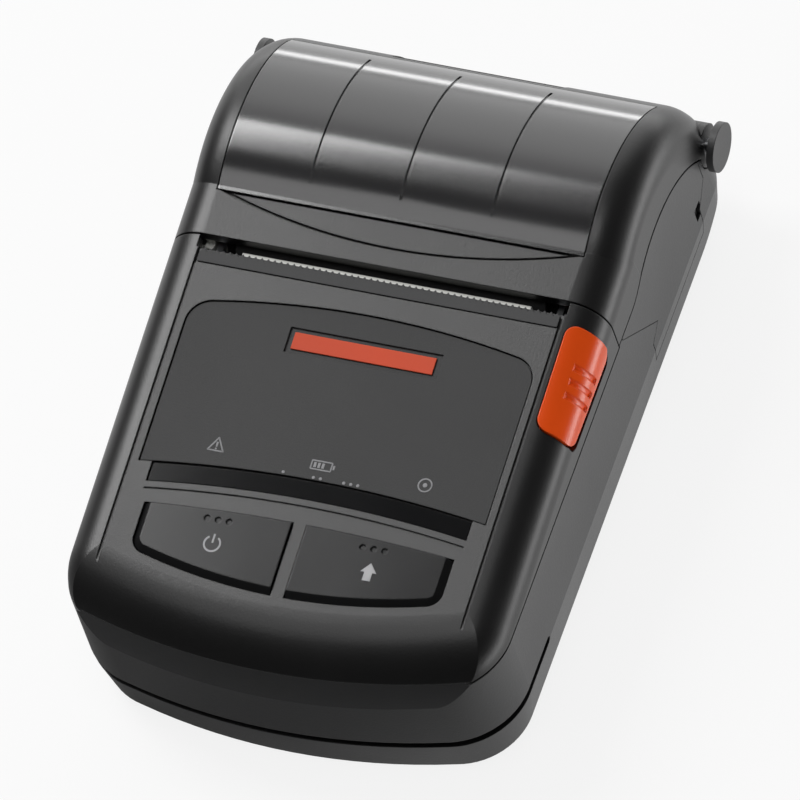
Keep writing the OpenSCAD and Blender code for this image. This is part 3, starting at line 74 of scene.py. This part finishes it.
camera = bpy.data.objects.new("camera", bpy.data.cameras.new("camera"))
bpy.context.scene.collection.objects.link(camera)
camera.data.lens = LENS
camera.data.sensor_width = 36
camera.data.clip_start = 0.1
camera.data.clip_end = 20
aim = AIM_AT + right * OFF_CENTRE[0] + up * OFF_CENTRE[1]
turn = Matrix((right, up, towards)).transposed().to_4x4()
camera.matrix_world = Matrix.Translation(aim + towards * DISTANCE) @ turn
bpy.context.scene.camera = camera
print("camera at", [round(c, 3) for c in camera.matrix_world.translation])

# %% [markdown]
# ## Light and floor
#
# Black plastic shows little colour of its own. What draws its form is the reflection of what stands
# around it: in the photograph that is a softbox overhead on the left, a bright sweep behind, a white
# table below, and a dark room in front and on the right, which leaves the nose and the shoulder black.
#
# The world stands for the room. A picture of a studio could be wrapped around the scene, but a smooth
# gradient is enough here: bright towards the rear sweep and dark elsewhere. The camera sees the world
# as white, through the Light Path node, whatever light it sends to the printer.

# %% World
DARK_ROOM = 0.05
REAR_SWEEP = 1.6
SWEEP_TOWARDS = Vector((-0.32, 0.88, 0.35)).normalized()
SWEEP_STARTS = 0.68
SWEEP_FULL = 0.98
scene = bpy.context.scene
scene.view_settings.view_transform = "Standard"
world = bpy.data.worlds.new("studio")
scene.world = world
world.use_nodes = True
tree = world.node_tree
tree.nodes.clear()
output = tree.nodes.new("ShaderNodeOutputWorld")
background = tree.nodes.new("ShaderNodeBackground")
background.inputs["Color"].default_value = (1, 1, 1, 1)
direction = tree.nodes.new("ShaderNodeTexCoord")
facing = tree.nodes.new("ShaderNodeVectorMath")
facing.operation = "DOT_PRODUCT"
facing.inputs[1].default_value = SWEEP_TOWARDS
tree.links.new(direction.outputs["Generated"], facing.inputs[0])
gradient = tree.nodes.new("ShaderNodeMapRange")
gradient.interpolation_type = "SMOOTHSTEP"
gradient.inputs["From Min"].default_value = SWEEP_STARTS
gradient.inputs["From Max"].default_value = SWEEP_FULL
gradient.inputs["To Min"].default_value = DARK_ROOM
gradient.inputs["To Max"].default_value = REAR_SWEEP
tree.links.new(facing.outputs["Value"], gradient.inputs["Value"])
path = tree.nodes.new("ShaderNodeLightPath")
seen = tree.nodes.new("ShaderNodeMix")
seen.inputs["B"].default_value = 1.0
tree.links.new(path.outputs["Is Camera Ray"], seen.inputs["Factor"])
tree.links.new(gradient.outputs["Result"], seen.inputs["A"])
tree.links.new(seen.outputs["Result"], background.inputs["Strength"])
tree.links.new(background.outputs["Background"], output.inputs["Surface"])
print("world from", DARK_ROOM, "in front to", REAR_SWEEP, "behind")

# %% [markdown]
# A lamp could be placed by eye. Here the softbox and the two cards stand where a line of sight arrives
# after it bounces off the surface that should shine, as off a mirror: the softbox draws the wide band
# on the window, the card behind draws its bright rear line, and the card on the right lights the
# shoulder and the orange button. The cards lie on the table and face up. The other two lamps are weaker
# and fill in. No lamp is seen by the camera itself.


# %% Lamps
def soft_light(name, place, size, power, towards_mm=(0, 0, 25)):
    """An area lamp at a place in millimetres, its first side across the printer, turned to a point."""
    lamp = bpy.data.lights.new(name, "AREA")
    lamp.shape = "RECTANGLE"
    lamp.size, lamp.size_y = size
    lamp.energy = power
    holder = bpy.data.objects.new(name, lamp)
    spot = Vector(place) * MM
    away = (spot - Vector(towards_mm) * MM).normalized()
    across = Vector((0, 1, 0)).cross(away).normalized()
    axes = Matrix((across, away.cross(across), away)).transposed().to_4x4()
    holder.matrix_world = Matrix.Translation(spot) @ axes
    holder.visible_camera = False
    bpy.context.scene.collection.objects.link(holder)


soft_light("softbox", (-660, 345, 880), (0.64, 0.40), 8.3)
soft_light("front_fill", (-260, -260, 1000), (0.5, 0.3), 0.9)
soft_light("overhead", (80, -60, 1100), (0.3, 0.3), 1.7)
soft_light("rear_card", (-94, 300, 2), (0.36, 0.15), 0.8, towards_mm=(-94, 300, 900))
soft_light("side_card", (150, 40, 2), (0.10, 0.26), 0.33, towards_mm=(150, 40, 900))

# %% [markdown]
# The floor is one large face, a hair below the printer. The photograph's table is nearly pure white
# and still carries a faint shadow. To make a matte floor that white takes more light than the printer
# can bear, so to the camera and in reflections the floor shines by itself, but only in part, and the
# rest takes the shadow. In reflections it fades to dark in front, which keeps the nose black. From
# below it is clear, so that the battery bay can be seen.

# %% Floor
FLOOR_SIZE = 6.0
FLOOR_DROP = 0.05
mesh = bmesh.new()
bmesh.ops.create_grid(mesh, x_segments=1, y_segments=1, size=FLOOR_SIZE / 2,
                      matrix=Matrix.Translation((0, 0, -FLOOR_DROP * MM)))
floor = bpy.data.objects.new("floor", bpy.data.meshes.new("floor"))
mesh.to_mesh(floor.data)
mesh.free()
bpy.context.scene.collection.objects.link(floor)
print("floor", FLOOR_SIZE, "m wide")

# %% The floor's nodes
paper = bpy.data.materials.new("pale_floor")
paper.use_nodes = True
tree = paper.node_tree
tree.nodes.clear()
output = tree.nodes.new("ShaderNodeOutputMaterial")
matte = tree.nodes.new("ShaderNodeBsdfDiffuse")
matte.inputs["Color"].default_value = (0.8, 0.8, 0.8, 1)
shine = tree.nodes.new("ShaderNodeEmission")
shine.inputs["Color"].default_value = (1, 1, 1, 1)
path = tree.nodes.new("ShaderNodeLightPath")
blend = tree.nodes.new("ShaderNodeMixShader")
tree.links.new(matte.outputs["BSDF"], blend.inputs[1])
tree.links.new(shine.outputs["Emission"], blend.inputs[2])
print("material", paper.name)

# %% [markdown]
# The ray that arrives says how much of the floor shines: a ray from the camera, from a reflection or
# through the window sees the shining part, and all others see matte paper. Such sums take many Math
# nodes, so a helper makes one from its kind and its two inputs.


# %% A helper for the sums
def math_node(tree, kind, first, second, clamp=False):
    """A Math node whose inputs are sockets or plain numbers. Returns its output."""
    node = tree.nodes.new("ShaderNodeMath")
    node.operation = kind
    node.use_clamp = clamp
    for socket, value in zip(node.inputs, (first, second)):
        if isinstance(value, (int, float)):
            socket.default_value = value
        else:
            tree.links.new(value, socket)
    return node.outputs[0]


print("helper ready")

# %% How much of the floor shines
SHINING_PART = 0.86
watched = math_node(tree, "MAXIMUM", path.outputs["Is Camera Ray"], path.outputs["Is Glossy Ray"])
clear = math_node(tree, "MAXIMUM", watched, path.outputs["Is Transmission Ray"])
tree.links.new(math_node(tree, "MULTIPLY", clear, SHINING_PART), blend.inputs["Fac"])
print("shining part", SHINING_PART)

# %% The floor fades to dark in front
FADE_TOWARDS = (0.35, 0.94, 0)
FADE_FROM = -75
FADE_TO = -25
DARK_TABLE = 0.12
place = tree.nodes.new("ShaderNodeTexCoord")
along = tree.nodes.new("ShaderNodeVectorMath")
along.operation = "DOT_PRODUCT"
along.inputs[1].default_value = FADE_TOWARDS
tree.links.new(place.outputs["Object"], along.inputs[0])
fade = tree.nodes.new("ShaderNodeMapRange")
fade.interpolation_type = "SMOOTHSTEP"
fade.inputs["From Min"].default_value = FADE_FROM * MM
fade.inputs["From Max"].default_value = FADE_TO * MM
fade.inputs["To Min"].default_value = DARK_TABLE
fade.inputs["To Max"].default_value = 1.0
tree.links.new(along.outputs["Value"], fade.inputs["Value"])
strength = math_node(tree, "MAXIMUM", path.outputs["Is Camera Ray"], fade.outputs["Result"])
tree.links.new(strength, shine.inputs["Strength"])
print("dark table in front", DARK_TABLE)

# %% The floor is clear from below
side = tree.nodes.new("ShaderNodeNewGeometry")
through = tree.nodes.new("ShaderNodeBsdfTransparent")
sided = tree.nodes.new("ShaderNodeMixShader")
tree.links.new(side.outputs["Backfacing"], sided.inputs["Fac"])
tree.links.new(blend.outputs["Shader"], sided.inputs[1])
tree.links.new(through.outputs["BSDF"], sided.inputs[2])
tree.links.new(sided.outputs["Shader"], output.inputs["Surface"])
floor.data.materials.append(paper)
print("floor material has", len(tree.nodes), "nodes")

# %% [markdown]
# ## Node groups
#
# Three effects are shared by nearly every finish. Their nodes could be set up anew in each material,
# but a node group is built once and used everywhere with its own values. A group puts out only values
# that change over the surface. The shader stays in each material.


# %% A helper to start a group
def start_group(name, inputs, outputs):
    """A new shader group with float inputs and outputs, and its two end nodes."""
    group = bpy.data.node_groups.new(name, "ShaderNodeTree")
    for label, value in inputs:
        socket = group.interface.new_socket(label, in_out="INPUT", socket_type="NodeSocketFloat")
        socket.default_value = value
    for label in outputs:
        group.interface.new_socket(label, in_out="OUTPUT", socket_type="NodeSocketFloat")
    return group, group.nodes.new("NodeGroupInput"), group.nodes.new("NodeGroupOutput")


print("groups so far:", len(bpy.data.node_groups))

# %% [markdown]
# Moulded plastic carries the fine grain that spark erosion leaves in the mould. An image could hold it,
# but the solids would have to be unwrapped first. Noise in Object coordinates lies evenly on any solid.
# The group gives a bump height and a slight spread of roughness.

# %% Moulded grain
CELL_SCALE = 0.8
CELL_SHARE = 0.6
grain, ends, results = start_group(
    "Moulded grain", [("Size mm", 0.3), ("Unevenness", 0.1)], ["Height", "Roughness shift"])
place = grain.nodes.new("ShaderNodeTexCoord")
pits = grain.nodes.new("ShaderNodeTexNoise")
pits.inputs["Detail"].default_value = 3
pits.inputs["Roughness"].default_value = 0.65
grain.links.new(place.outputs["Object"], pits.inputs["Vector"])
per_metre = math_node(grain, "DIVIDE", 1000.0, ends.outputs["Size mm"])
grain.links.new(per_metre, pits.inputs["Scale"])
cells = grain.nodes.new("ShaderNodeTexVoronoi")
cells.feature = "SMOOTH_F1"
grain.links.new(place.outputs["Object"], cells.inputs["Vector"])
grain.links.new(math_node(grain, "MULTIPLY", per_metre, CELL_SCALE), cells.inputs["Scale"])
cell_part = math_node(grain, "MULTIPLY", cells.outputs["Distance"], CELL_SHARE)
grain.links.new(math_node(grain, "ADD", cell_part, pits.outputs["Fac"]), results.inputs["Height"])
centred = math_node(grain, "SUBTRACT", pits.outputs["Fac"], 0.5)
uneven = math_node(grain, "MULTIPLY", centred, ends.outputs["Unevenness"])
grain.links.new(uneven, results.inputs["Roughness shift"])
print("group", grain.name)

# %% [markdown]
# Edges get rubbed a little pale in use. The wear could be painted on, but then it wouldn't follow a
# changed solid. Here an edge is found by comparing the true normal with the one of a Bevel node, which
# is rounded near an edge, and noise breaks the wear up into patches.

# %% Edge wear
BEVEL_SAMPLES = 4
EDGE_CONTRAST = 4.0
PATCH_LEVEL = 0.38
PATCH_CONTRAST = 4.0
wear, ends, results = start_group("Edge wear", [("Width mm", 0.4), ("Amount", 0.5)], ["Mask"])
rounded = wear.nodes.new("ShaderNodeBevel")
rounded.samples = BEVEL_SAMPLES
wear.links.new(math_node(wear, "MULTIPLY", ends.outputs["Width mm"], MM), rounded.inputs["Radius"])
true = wear.nodes.new("ShaderNodeNewGeometry")
turned = wear.nodes.new("ShaderNodeVectorMath")
turned.operation = "DOT_PRODUCT"
wear.links.new(rounded.outputs["Normal"], turned.inputs[0])
wear.links.new(true.outputs["Normal"], turned.inputs[1])
edge = math_node(wear, "SUBTRACT", 1.0, turned.outputs["Value"], clamp=True)
edge = math_node(wear, "MULTIPLY", edge, EDGE_CONTRAST, clamp=True)
place = wear.nodes.new("ShaderNodeTexCoord")
patches = wear.nodes.new("ShaderNodeTexNoise")
patches.inputs["Scale"].default_value = 140
patches.inputs["Detail"].default_value = 5
wear.links.new(place.outputs["Object"], patches.inputs["Vector"])
spots = math_node(wear, "SUBTRACT", patches.outputs["Fac"], PATCH_LEVEL)
spots = math_node(wear, "MULTIPLY", spots, PATCH_CONTRAST, clamp=True)
worn_spots = math_node(wear, "MULTIPLY", edge, spots)
mask = math_node(wear, "MULTIPLY", worn_spots, ends.outputs["Amount"], clamp=True)
wear.links.new(mask, results.inputs["Mask"])
print("group", wear.name)

# %% [markdown]
# Hands and dust leave a broad, faint unevenness in gloss and shade, which keeps a large smooth surface
# from looking computed. A slow noise is enough for it.

# %% Handling marks
SHADE_SPAN = 0.35
handling, ends, results = start_group("Handling", [("Spread", 0.1)], ["Roughness shift", "Shade"])
place = handling.nodes.new("ShaderNodeTexCoord")
broad = handling.nodes.new("ShaderNodeTexNoise")
broad.inputs["Scale"].default_value = 28
broad.inputs["Detail"].default_value = 4
broad.inputs["Distortion"].default_value = 0.6
handling.links.new(place.outputs["Object"], broad.inputs["Vector"])
centred = math_node(handling, "SUBTRACT", broad.outputs["Fac"], 0.5)
spread = math_node(handling, "MULTIPLY", centred, ends.outputs["Spread"])
handling.links.new(spread, results.inputs["Roughness shift"])
shade = math_node(handling, "ADD", math_node(handling, "MULTIPLY", centred, SHADE_SPAN), 1.0)
handling.links.new(shade, results.inputs["Shade"])
print("group", handling.name)

# %% [markdown]
# ## Finishes
#
# Each finish is a Principled shader with the three groups around it. One function makes them all, so
# that they differ in their numbers only. The rounded normal of a Bevel node goes under the grain's
# bump: the CAD solids have sharp edges, and this lets them catch the light as moulded edges do, while
# the meshes stay as they are.


# %% A finish
def place_group(tree, group, values):
    """Puts a group into a material with its own values."""
    node = tree.nodes.new("ShaderNodeGroup")
    node.node_tree = group
    for label, value in values.items():
        node.inputs[label].default_value = value
    return node


def finish(name, colour, roughness, grain_mm=0.3, grain_depth=0.004, unevenness=0.12, worn=0.25,
           edge_mm=0.25, metallic=0.0, wear_lift=2.4):
    """A moulded, painted or metal surface. The colour is linear, and lengths are in millimetres."""
    material = bpy.data.materials.new(name)
    material.use_nodes = True
    tree = material.node_tree
    shader = tree.nodes["Principled BSDF"]
    shader.inputs["Metallic"].default_value = metallic
    grained = place_group(tree, grain, {"Size mm": grain_mm, "Unevenness": unevenness})
    worn_edges = place_group(tree, wear, {"Width mm": edge_mm, "Amount": worn})
    handled = place_group(tree, handling, {"Spread": unevenness})
    tint = tree.nodes.new("ShaderNodeMix")
    tint.data_type = "RGBA"
    tint.inputs["A"].default_value = (*colour, 1)
    lifted = [min(1.0, c * wear_lift + 0.004) for c in colour]
    tint.inputs["B"].default_value = (*lifted, 1)
    tree.links.new(worn_edges.outputs["Mask"], tint.inputs["Factor"])
    shaded = tree.nodes.new("ShaderNodeVectorMath")
    shaded.operation = "SCALE"
    tree.links.new(tint.outputs["Result"], shaded.inputs[0])
    tree.links.new(handled.outputs["Shade"], shaded.inputs["Scale"])
    tree.links.new(shaded.outputs["Vector"], shader.inputs["Base Color"])
    rough = math_node(tree, "ADD", grained.outputs["Roughness shift"], roughness)
    rough = math_node(tree, "ADD", rough, handled.outputs["Roughness shift"], clamp=True)
    tree.links.new(rough, shader.inputs["Roughness"])
    rounded = tree.nodes.new("ShaderNodeBevel")
    rounded.samples = BEVEL_SAMPLES
    rounded.inputs["Radius"].default_value = edge_mm * MM
    bump = tree.nodes.new("ShaderNodeBump")
    bump.inputs["Strength"].default_value = 1.0
    bump.inputs["Distance"].default_value = grain_depth * MM
    tree.links.new(grained.outputs["Height"], bump.inputs["Height"])
    tree.links.new(rounded.outputs["Normal"], bump.inputs["Normal"])
    tree.links.new(bump.outputs["Normal"], shader.inputs["Normal"])
    finishes[name] = material
    return material


finishes = {}
print("one function for all finishes")

# %% [markdown]
# The two top shells are black, with soft, long reflections, and the lower shell is a dark grey that is
# duller and more coarsely grained. The panel in the deck is the dullest. A lower roughness would draw
# the lamps as sharp patches, which the photograph shows on the window alone.

# %% Shells and panel
finish("deck_plastic", (0.0085, 0.0083, 0.0085), 0.36, grain_mm=0.32, grain_depth=0.012)
finish("base_plastic", (0.034, 0.034, 0.035), 0.42, grain_mm=0.35, grain_depth=0.02)
finish("panel_plastic", (0.016, 0.016, 0.0165), 0.52, grain_mm=0.25, grain_depth=0.02)
print("finishes:", len(finishes))

# %% [markdown]
# The keys and the dark strip over the lights are polished. The button that opens the cover is bright
# orange and slightly glossy. The bar on the panel is a duller orange inlay.

# %% Keys, strip, button and bar
finish("gloss_black", (0.006, 0.006, 0.0065), 0.1, grain_depth=0.0005, unevenness=0.05)
finish("key_plastic", (0.010, 0.010, 0.0105), 0.17, grain_depth=0.002, edge_mm=0.3)
finish("orange_plastic", (0.86, 0.085, 0.006), 0.22, grain_depth=0.001, wear_lift=1.2)
finish("badge_orange", (0.62, 0.06, 0.012), 0.7, grain_depth=0.004, wear_lift=1.1)
print("finishes:", len(finishes))

# %% [markdown]
# Inside, the tray, the battery and the latch are plain dark plastic, the gears and bushings white
# acetal, and the light guides clear. The guides are hidden under the strip, so a pale, smooth plastic
# stands for them, which renders faster than glass. The platen is soft black rubber.

# %% Inner plastics and rubber
finish("inner_plastic", (0.02, 0.02, 0.021), 0.6, grain_depth=0.01)
finish("white_plastic", (0.72, 0.72, 0.68), 0.42, grain_depth=0.003, wear_lift=0.9)
finish("clear_guide", (0.75, 0.78, 0.8), 0.2, grain_depth=0.001, wear_lift=1.0)
finish("rubber", (0.02, 0.02, 0.021), 0.75, grain_mm=0.15, grain_depth=0.006)
print("finishes:", len(finishes))

# %% [markdown]
# Pins, springs and the mechanism's frame are steel, the case screws blackened steel, the heat sink
# aluminium, the pinion and the battery contacts brass. A metal has no colour under its shine, so these
# have the same nodes with Metallic at one, and their colour is that of their reflection.

# %% Metals
finish("steel", (0.55, 0.56, 0.58), 0.32, grain_depth=0.001, metallic=1.0, wear_lift=1.3)
finish("dark_steel", (0.22, 0.22, 0.23), 0.34, grain_depth=0.001, metallic=1.0, wear_lift=1.6)
finish("aluminium", (0.72, 0.73, 0.74), 0.38, grain_depth=0.002, metallic=1.0, wear_lift=1.1)
finish("brass", (0.78, 0.57, 0.24), 0.28, grain_depth=0.001, metallic=1.0, wear_lift=1.1)
print("finishes:", len(finishes))

# %% [markdown]
# The print head is a ceramic plate, and the circuit board is coated green.

# %% Head and board
finish("ceramic", (0.80, 0.80, 0.76), 0.3, grain_depth=0.001, wear_lift=1.0)
finish("solder_mask", (0.012, 0.11, 0.035), 0.3, grain_depth=0.004, wear_lift=1.3)
print("finishes:", ", ".join(finishes))

# %% [markdown]
# ## The window
#
# The window in the paper cover is smoked clear plastic. Against the dark roll space behind it, it looks
# black, and shows mostly reflections. Plain black plastic would look nearly the same from outside. It
# still gets a little transmission, so that what stands behind it shows faintly, and a coat, because a
# clear pane reflects at both of its faces.

# %% Smoked window
smoked = finish("smoked_window", (0.022, 0.022, 0.023), 0.14, grain_depth=0.0004, unevenness=0.06,
                worn=0.1)
shader = smoked.node_tree.nodes["Principled BSDF"]
shader.inputs["Transmission Weight"].default_value = 0.35
shader.inputs["IOR"].default_value = 1.49
shader.inputs["Coat Weight"].default_value = 0.8
shader.inputs["Coat Roughness"].default_value = 0.16
print("finish", smoked.name)

# %% [markdown]
# The strip, the keys and the panel mirror the room less than bare plastic would, as the photograph
# shows them. A darker colour wouldn't help, because a reflection takes none of it, so their specular
# level is lowered.

# %% Weaker mirrors
for label, level in (("gloss_black", 0.12), ("key_plastic", 0.3), ("panel_plastic", 0.35)):
    shader = finishes[label].node_tree.nodes["Principled BSDF"]
    shader.inputs["Specular IOR Level"].default_value = level
    print(label, "specular", level)

# %% [markdown]
# ## Which solid gets which finish
#
# Each finish lists the solids it is on, which is easier to check than a finish for each of the 44
# solids. A CAD node's mesh is left alone. Only its material slots are filled.

# %% Dress the CAD nodes
dress = {
    "deck_plastic": ["upper_housing", "paper_cover"],
    "base_plastic": ["lower_housing", "side_door", "strap_stud_right", "strap_stud_left"],
    "panel_plastic": ["control_panel"],
    "gloss_black": ["indicator_lens"],
    "key_plastic": ["power_key", "feed_key"],
    "orange_plastic": ["open_button"],
    "badge_orange": ["badge_inlay"],
    "smoked_window": ["cover_window"],
    "inner_plastic": ["tear_bar", "paper_tray", "paper_sensor", "battery_pack", "battery_latch",
                      "board_parts", "power_socket"],
    "white_plastic": ["platen_bushings", "platen_gear", "idler_gear"],
    "clear_guide": ["light_guides", "indicator_leds"],
    "rubber": ["platen_roller"],
    "steel": ["hinge_pin", "idler_pin", "platen_shaft", "mechanism_frame", "head_spring",
              "open_spring", "release_lever", "key_switches", "data_socket", "door_pin",
              "frame_screws", "paper_motor"],
    "dark_steel": ["housing_screws"],
    "aluminium": ["head_heatsink"],
    "brass": ["motor_pinion", "battery_contacts"],
    "ceramic": ["print_head"],
    "solder_mask": ["circuit_board"],
}
for finish_name, dressed in dress.items():
    for node_name in dressed:
        solid = nodes[node_name]
        if not solid.material_slots:
            solid.data.materials.append(finishes[finish_name])
        for slot in solid.material_slots:
            slot.material = finishes[finish_name]
plain = sorted(set(nodes) - {n for group in dress.values() for n in group})
print("nodes without a finish:", plain)

# %% [markdown]
# ## Printed marks
#
# The keys and the panel carry small pale marks, printed in ink a few hundredths of a millimetre thick:
# a warning triangle, a battery, a ring with a dot for the status light, the usual power sign and an
# arrow for paper feed. An image or a font could give them. Built flat, as outlines that are inset to a
# band and then raised, they need neither and stay sharp from near.
#
# They have to lie on the sloping deck. Its slope is read from the joint of a key, which is pressed
# straight into the deck, and the height of a surface from the solid that the mark lies on, so the marks
# follow the CAD part.

# %% Where the deck is
press = next(j for j in frame["joints"] if j["name"] == "power_press")
DECK_UP = -Vector(press["axis"]).normalized()
DECK_BACK = Vector((1, 0, 0)).cross(DECK_UP) * -1
INK = 0.03 * MM


def deck_place(node_name, x_mm, y_mm):
    """A matrix that lays a flat shape on the top of a node, at X and Y in millimetres."""
    top = max(DECK_UP.dot(v.co) for v in nodes[node_name].data.vertices)
    x, y = x_mm * MM, y_mm * MM
    z = (top - y * DECK_UP.y) / DECK_UP.z
    axes = Matrix((Vector((1, 0, 0)), DECK_BACK, DECK_UP)).transposed().to_4x4()
    return Matrix.Translation((x, y, z)) @ axes


print("deck slope", round(math.degrees(math.asin(-DECK_UP.y)), 2))


# %% Flat shapes
def disc(mesh, corners, radius, at=(0, 0)):
    """A filled disc, or a polygon of few corners, in the XY plane. Sizes in millimetres."""
    spot = Matrix.Translation((at[0] * MM, at[1] * MM, 0))
    made = bmesh.ops.create_circle(mesh, cap_ends=True, segments=corners, radius=radius * MM,
                                   matrix=spot)
    return made["verts"][0].link_faces[0]


def plate(mesh, corners_mm):
    """A filled outline through the given corners, in millimetres."""
    return mesh.faces.new([mesh.verts.new((x * MM, y * MM, 0)) for x, y in corners_mm])


def soften(mesh, face, radius):
    """Rounds the corners of a flat face, in four steps each."""
    bmesh.ops.bevel(mesh, geom=list(face.verts), offset=radius * MM, offset_type="OFFSET",
                    segments=4, profile=0.5, affect="VERTICES", material=-1)
    return max(mesh.faces, key=lambda f: f.calc_area())


def band(mesh, face, width):
    """Keeps only a rim of the given width along a face's edge."""
    bmesh.ops.inset_region(mesh, faces=[face], thickness=width * MM, use_boundary=True,
                           use_even_offset=True)
    bmesh.ops.delete(mesh, geom=[face], context="FACES_ONLY")


print("flat shapes: disc, plate, soften, band")

# %% [markdown]
# A finished flat drawing is raised to the thickness of ink, laid in its place and handed to the body
# that it moves with. A mark on a key goes down with the key.


# %% Raise and lay a mark
def printed(name, mesh, place, body, ink):
    """Raises flat shapes to the thickness of ink, lays them in their place and gives them to a body."""
    raised = bmesh.ops.extrude_face_region(mesh, geom=list(mesh.faces))
    top = [v for v in raised["geom"] if isinstance(v, bmesh.types.BMVert)]
    bmesh.ops.translate(mesh, vec=(0, 0, INK), verts=top)
    bmesh.ops.recalc_face_normals(mesh, faces=mesh.faces)
    bmesh.ops.transform(mesh, matrix=place, verts=mesh.verts)
    piece = bpy.data.objects.new(name, bpy.data.meshes.new(name))
    mesh.to_mesh(piece.data)
    mesh.free()
    bpy.context.scene.collection.objects.link(piece)
    piece.data.materials.append(ink)
    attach(piece, body)
    print(name, len(piece.data.polygons), "faces")


def key_sign(name, mesh, x_mm, key, body):
    """Prints a sign on a key."""
    printed(name, mesh, deck_place(key, x_mm, KEY_SIGN_Y), body, pale_ink)


def panel_sign(name, mesh, x_mm, y_mm):
    """Prints a sign on the panel."""
    printed(name, mesh, deck_place("control_panel", x_mm, y_mm), "housing", grey_ink)


print("ink", INK, "m thick")

# %% [markdown]
# The keys' marks are pale grey and the panel's a darker grey, as in the photograph.

# %% Inks and rows
KEY_SIGN_Y = -43.2
PANEL_SIGN_Y = -24.9
pale_ink = finish("pale_ink", (0.42, 0.42, 0.43), 0.5, grain_depth=0.001, worn=0.15, wear_lift=0.6)
grey_ink = finish("grey_ink", (0.26, 0.26, 0.27), 0.5, grain_depth=0.001, worn=0.15, wear_lift=0.6)
print("inks:", pale_ink.name, grey_ink.name)

# %% [markdown]
# The power sign is an open ring with a bar in its gap. A full ring could be cut open, but a short line
# that is spun part of a turn gives the open ring at once.

# %% Power sign
SIGN_R = 1.45
SIGN_LINE = 0.34
SIGN_GAP = math.radians(34)
mesh = bmesh.new()
half = SIGN_LINE / 2
start = [((SIGN_R + dx) * MM, 0, 0) for dx in (-half, half)]
edge = mesh.edges.new([mesh.verts.new(c) for c in start])
gap_side = Matrix.Rotation(math.pi / 2 + SIGN_GAP, 3, "Z")
bmesh.ops.rotate(mesh, cent=(0, 0, 0), matrix=gap_side, verts=mesh.verts)
bmesh.ops.spin(mesh, geom=[edge], cent=(0, 0, 0), axis=(0, 0, 1), angle=math.tau - 2 * SIGN_GAP,
               steps=36)
plate(mesh, [(-half, 0.15), (half, 0.15), (half, 1.85), (-half, 1.85)])
key_sign("power_sign", mesh, -14.4, "power_key", "power_button")

# %% [markdown]
# The feed sign is a plump arrow, a head on a short tail: one outline through seven corners.

# %% Feed sign
mesh = bmesh.new()
plate(mesh, [(0, 1.9), (-1.5, 0.1), (-0.75, 0.1), (-0.75, -1.5), (0.75, -1.5), (0.75, 0.1), (1.5, 0.1)])
key_sign("feed_sign", mesh, 14.7, "feed_key", "feed_button")

# %% [markdown]
# The warning triangle is a disc with three corners, rounded and inset, with a bar and a dot inside.
# The battery is a rounded case with its cap and three bars, and the status sign a ring with a dot.

# %% Warning sign
mesh = bmesh.new()
triangle = disc(mesh, 3, 1.95)
triangle = soften(mesh, triangle, 0.3)
band(mesh, triangle, 0.28)
plate(mesh, [(-0.15, -0.1), (0.15, -0.1), (0.19, 0.85), (-0.19, 0.85)])
disc(mesh, 12, 0.19, at=(0, -0.45))
panel_sign("error_sign", mesh, -19.5, PANEL_SIGN_Y)

# %% Battery sign
mesh = bmesh.new()
case = plate(mesh, [(-2.0, -0.95), (2.0, -0.95), (2.0, 0.95), (-2.0, 0.95)])
case = soften(mesh, case, 0.25)
band(mesh, case, 0.27)
plate(mesh, [(2.12, -0.42), (2.5, -0.42), (2.5, 0.42), (2.12, 0.42)])
for x in (-1.45, -0.7, 0.05):
    plate(mesh, [(x, -0.5), (x + 0.5, -0.5), (x + 0.5, 0.5), (x, 0.5)])
panel_sign("battery_sign", mesh, 0.1, PANEL_SIGN_Y)

# %% Status sign
mesh = bmesh.new()
ring = disc(mesh, 32, 1.35)
band(mesh, ring, 0.27)
disc(mesh, 20, 0.42)
panel_sign("status_sign", mesh, 19.4, PANEL_SIGN_Y)

# %% [markdown]
# Above the three battery lights stand one, two and three dots, for low, half and full. Two loops place
# them: one over the lights, one over the dots of a light.

# %% Battery dots
LIGHT_PITCH = 6.3
DOT_PITCH = 1.3
DOTS_Y = -27.3
mesh = bmesh.new()
for count in (1, 2, 3):
    middle = (count - 2) * LIGHT_PITCH
    for k in range(count):
        disc(mesh, 14, 0.3, at=(middle + (k - (count - 1) / 2) * DOT_PITCH, 0))
panel_sign("battery_dots", mesh, 0, DOTS_Y)
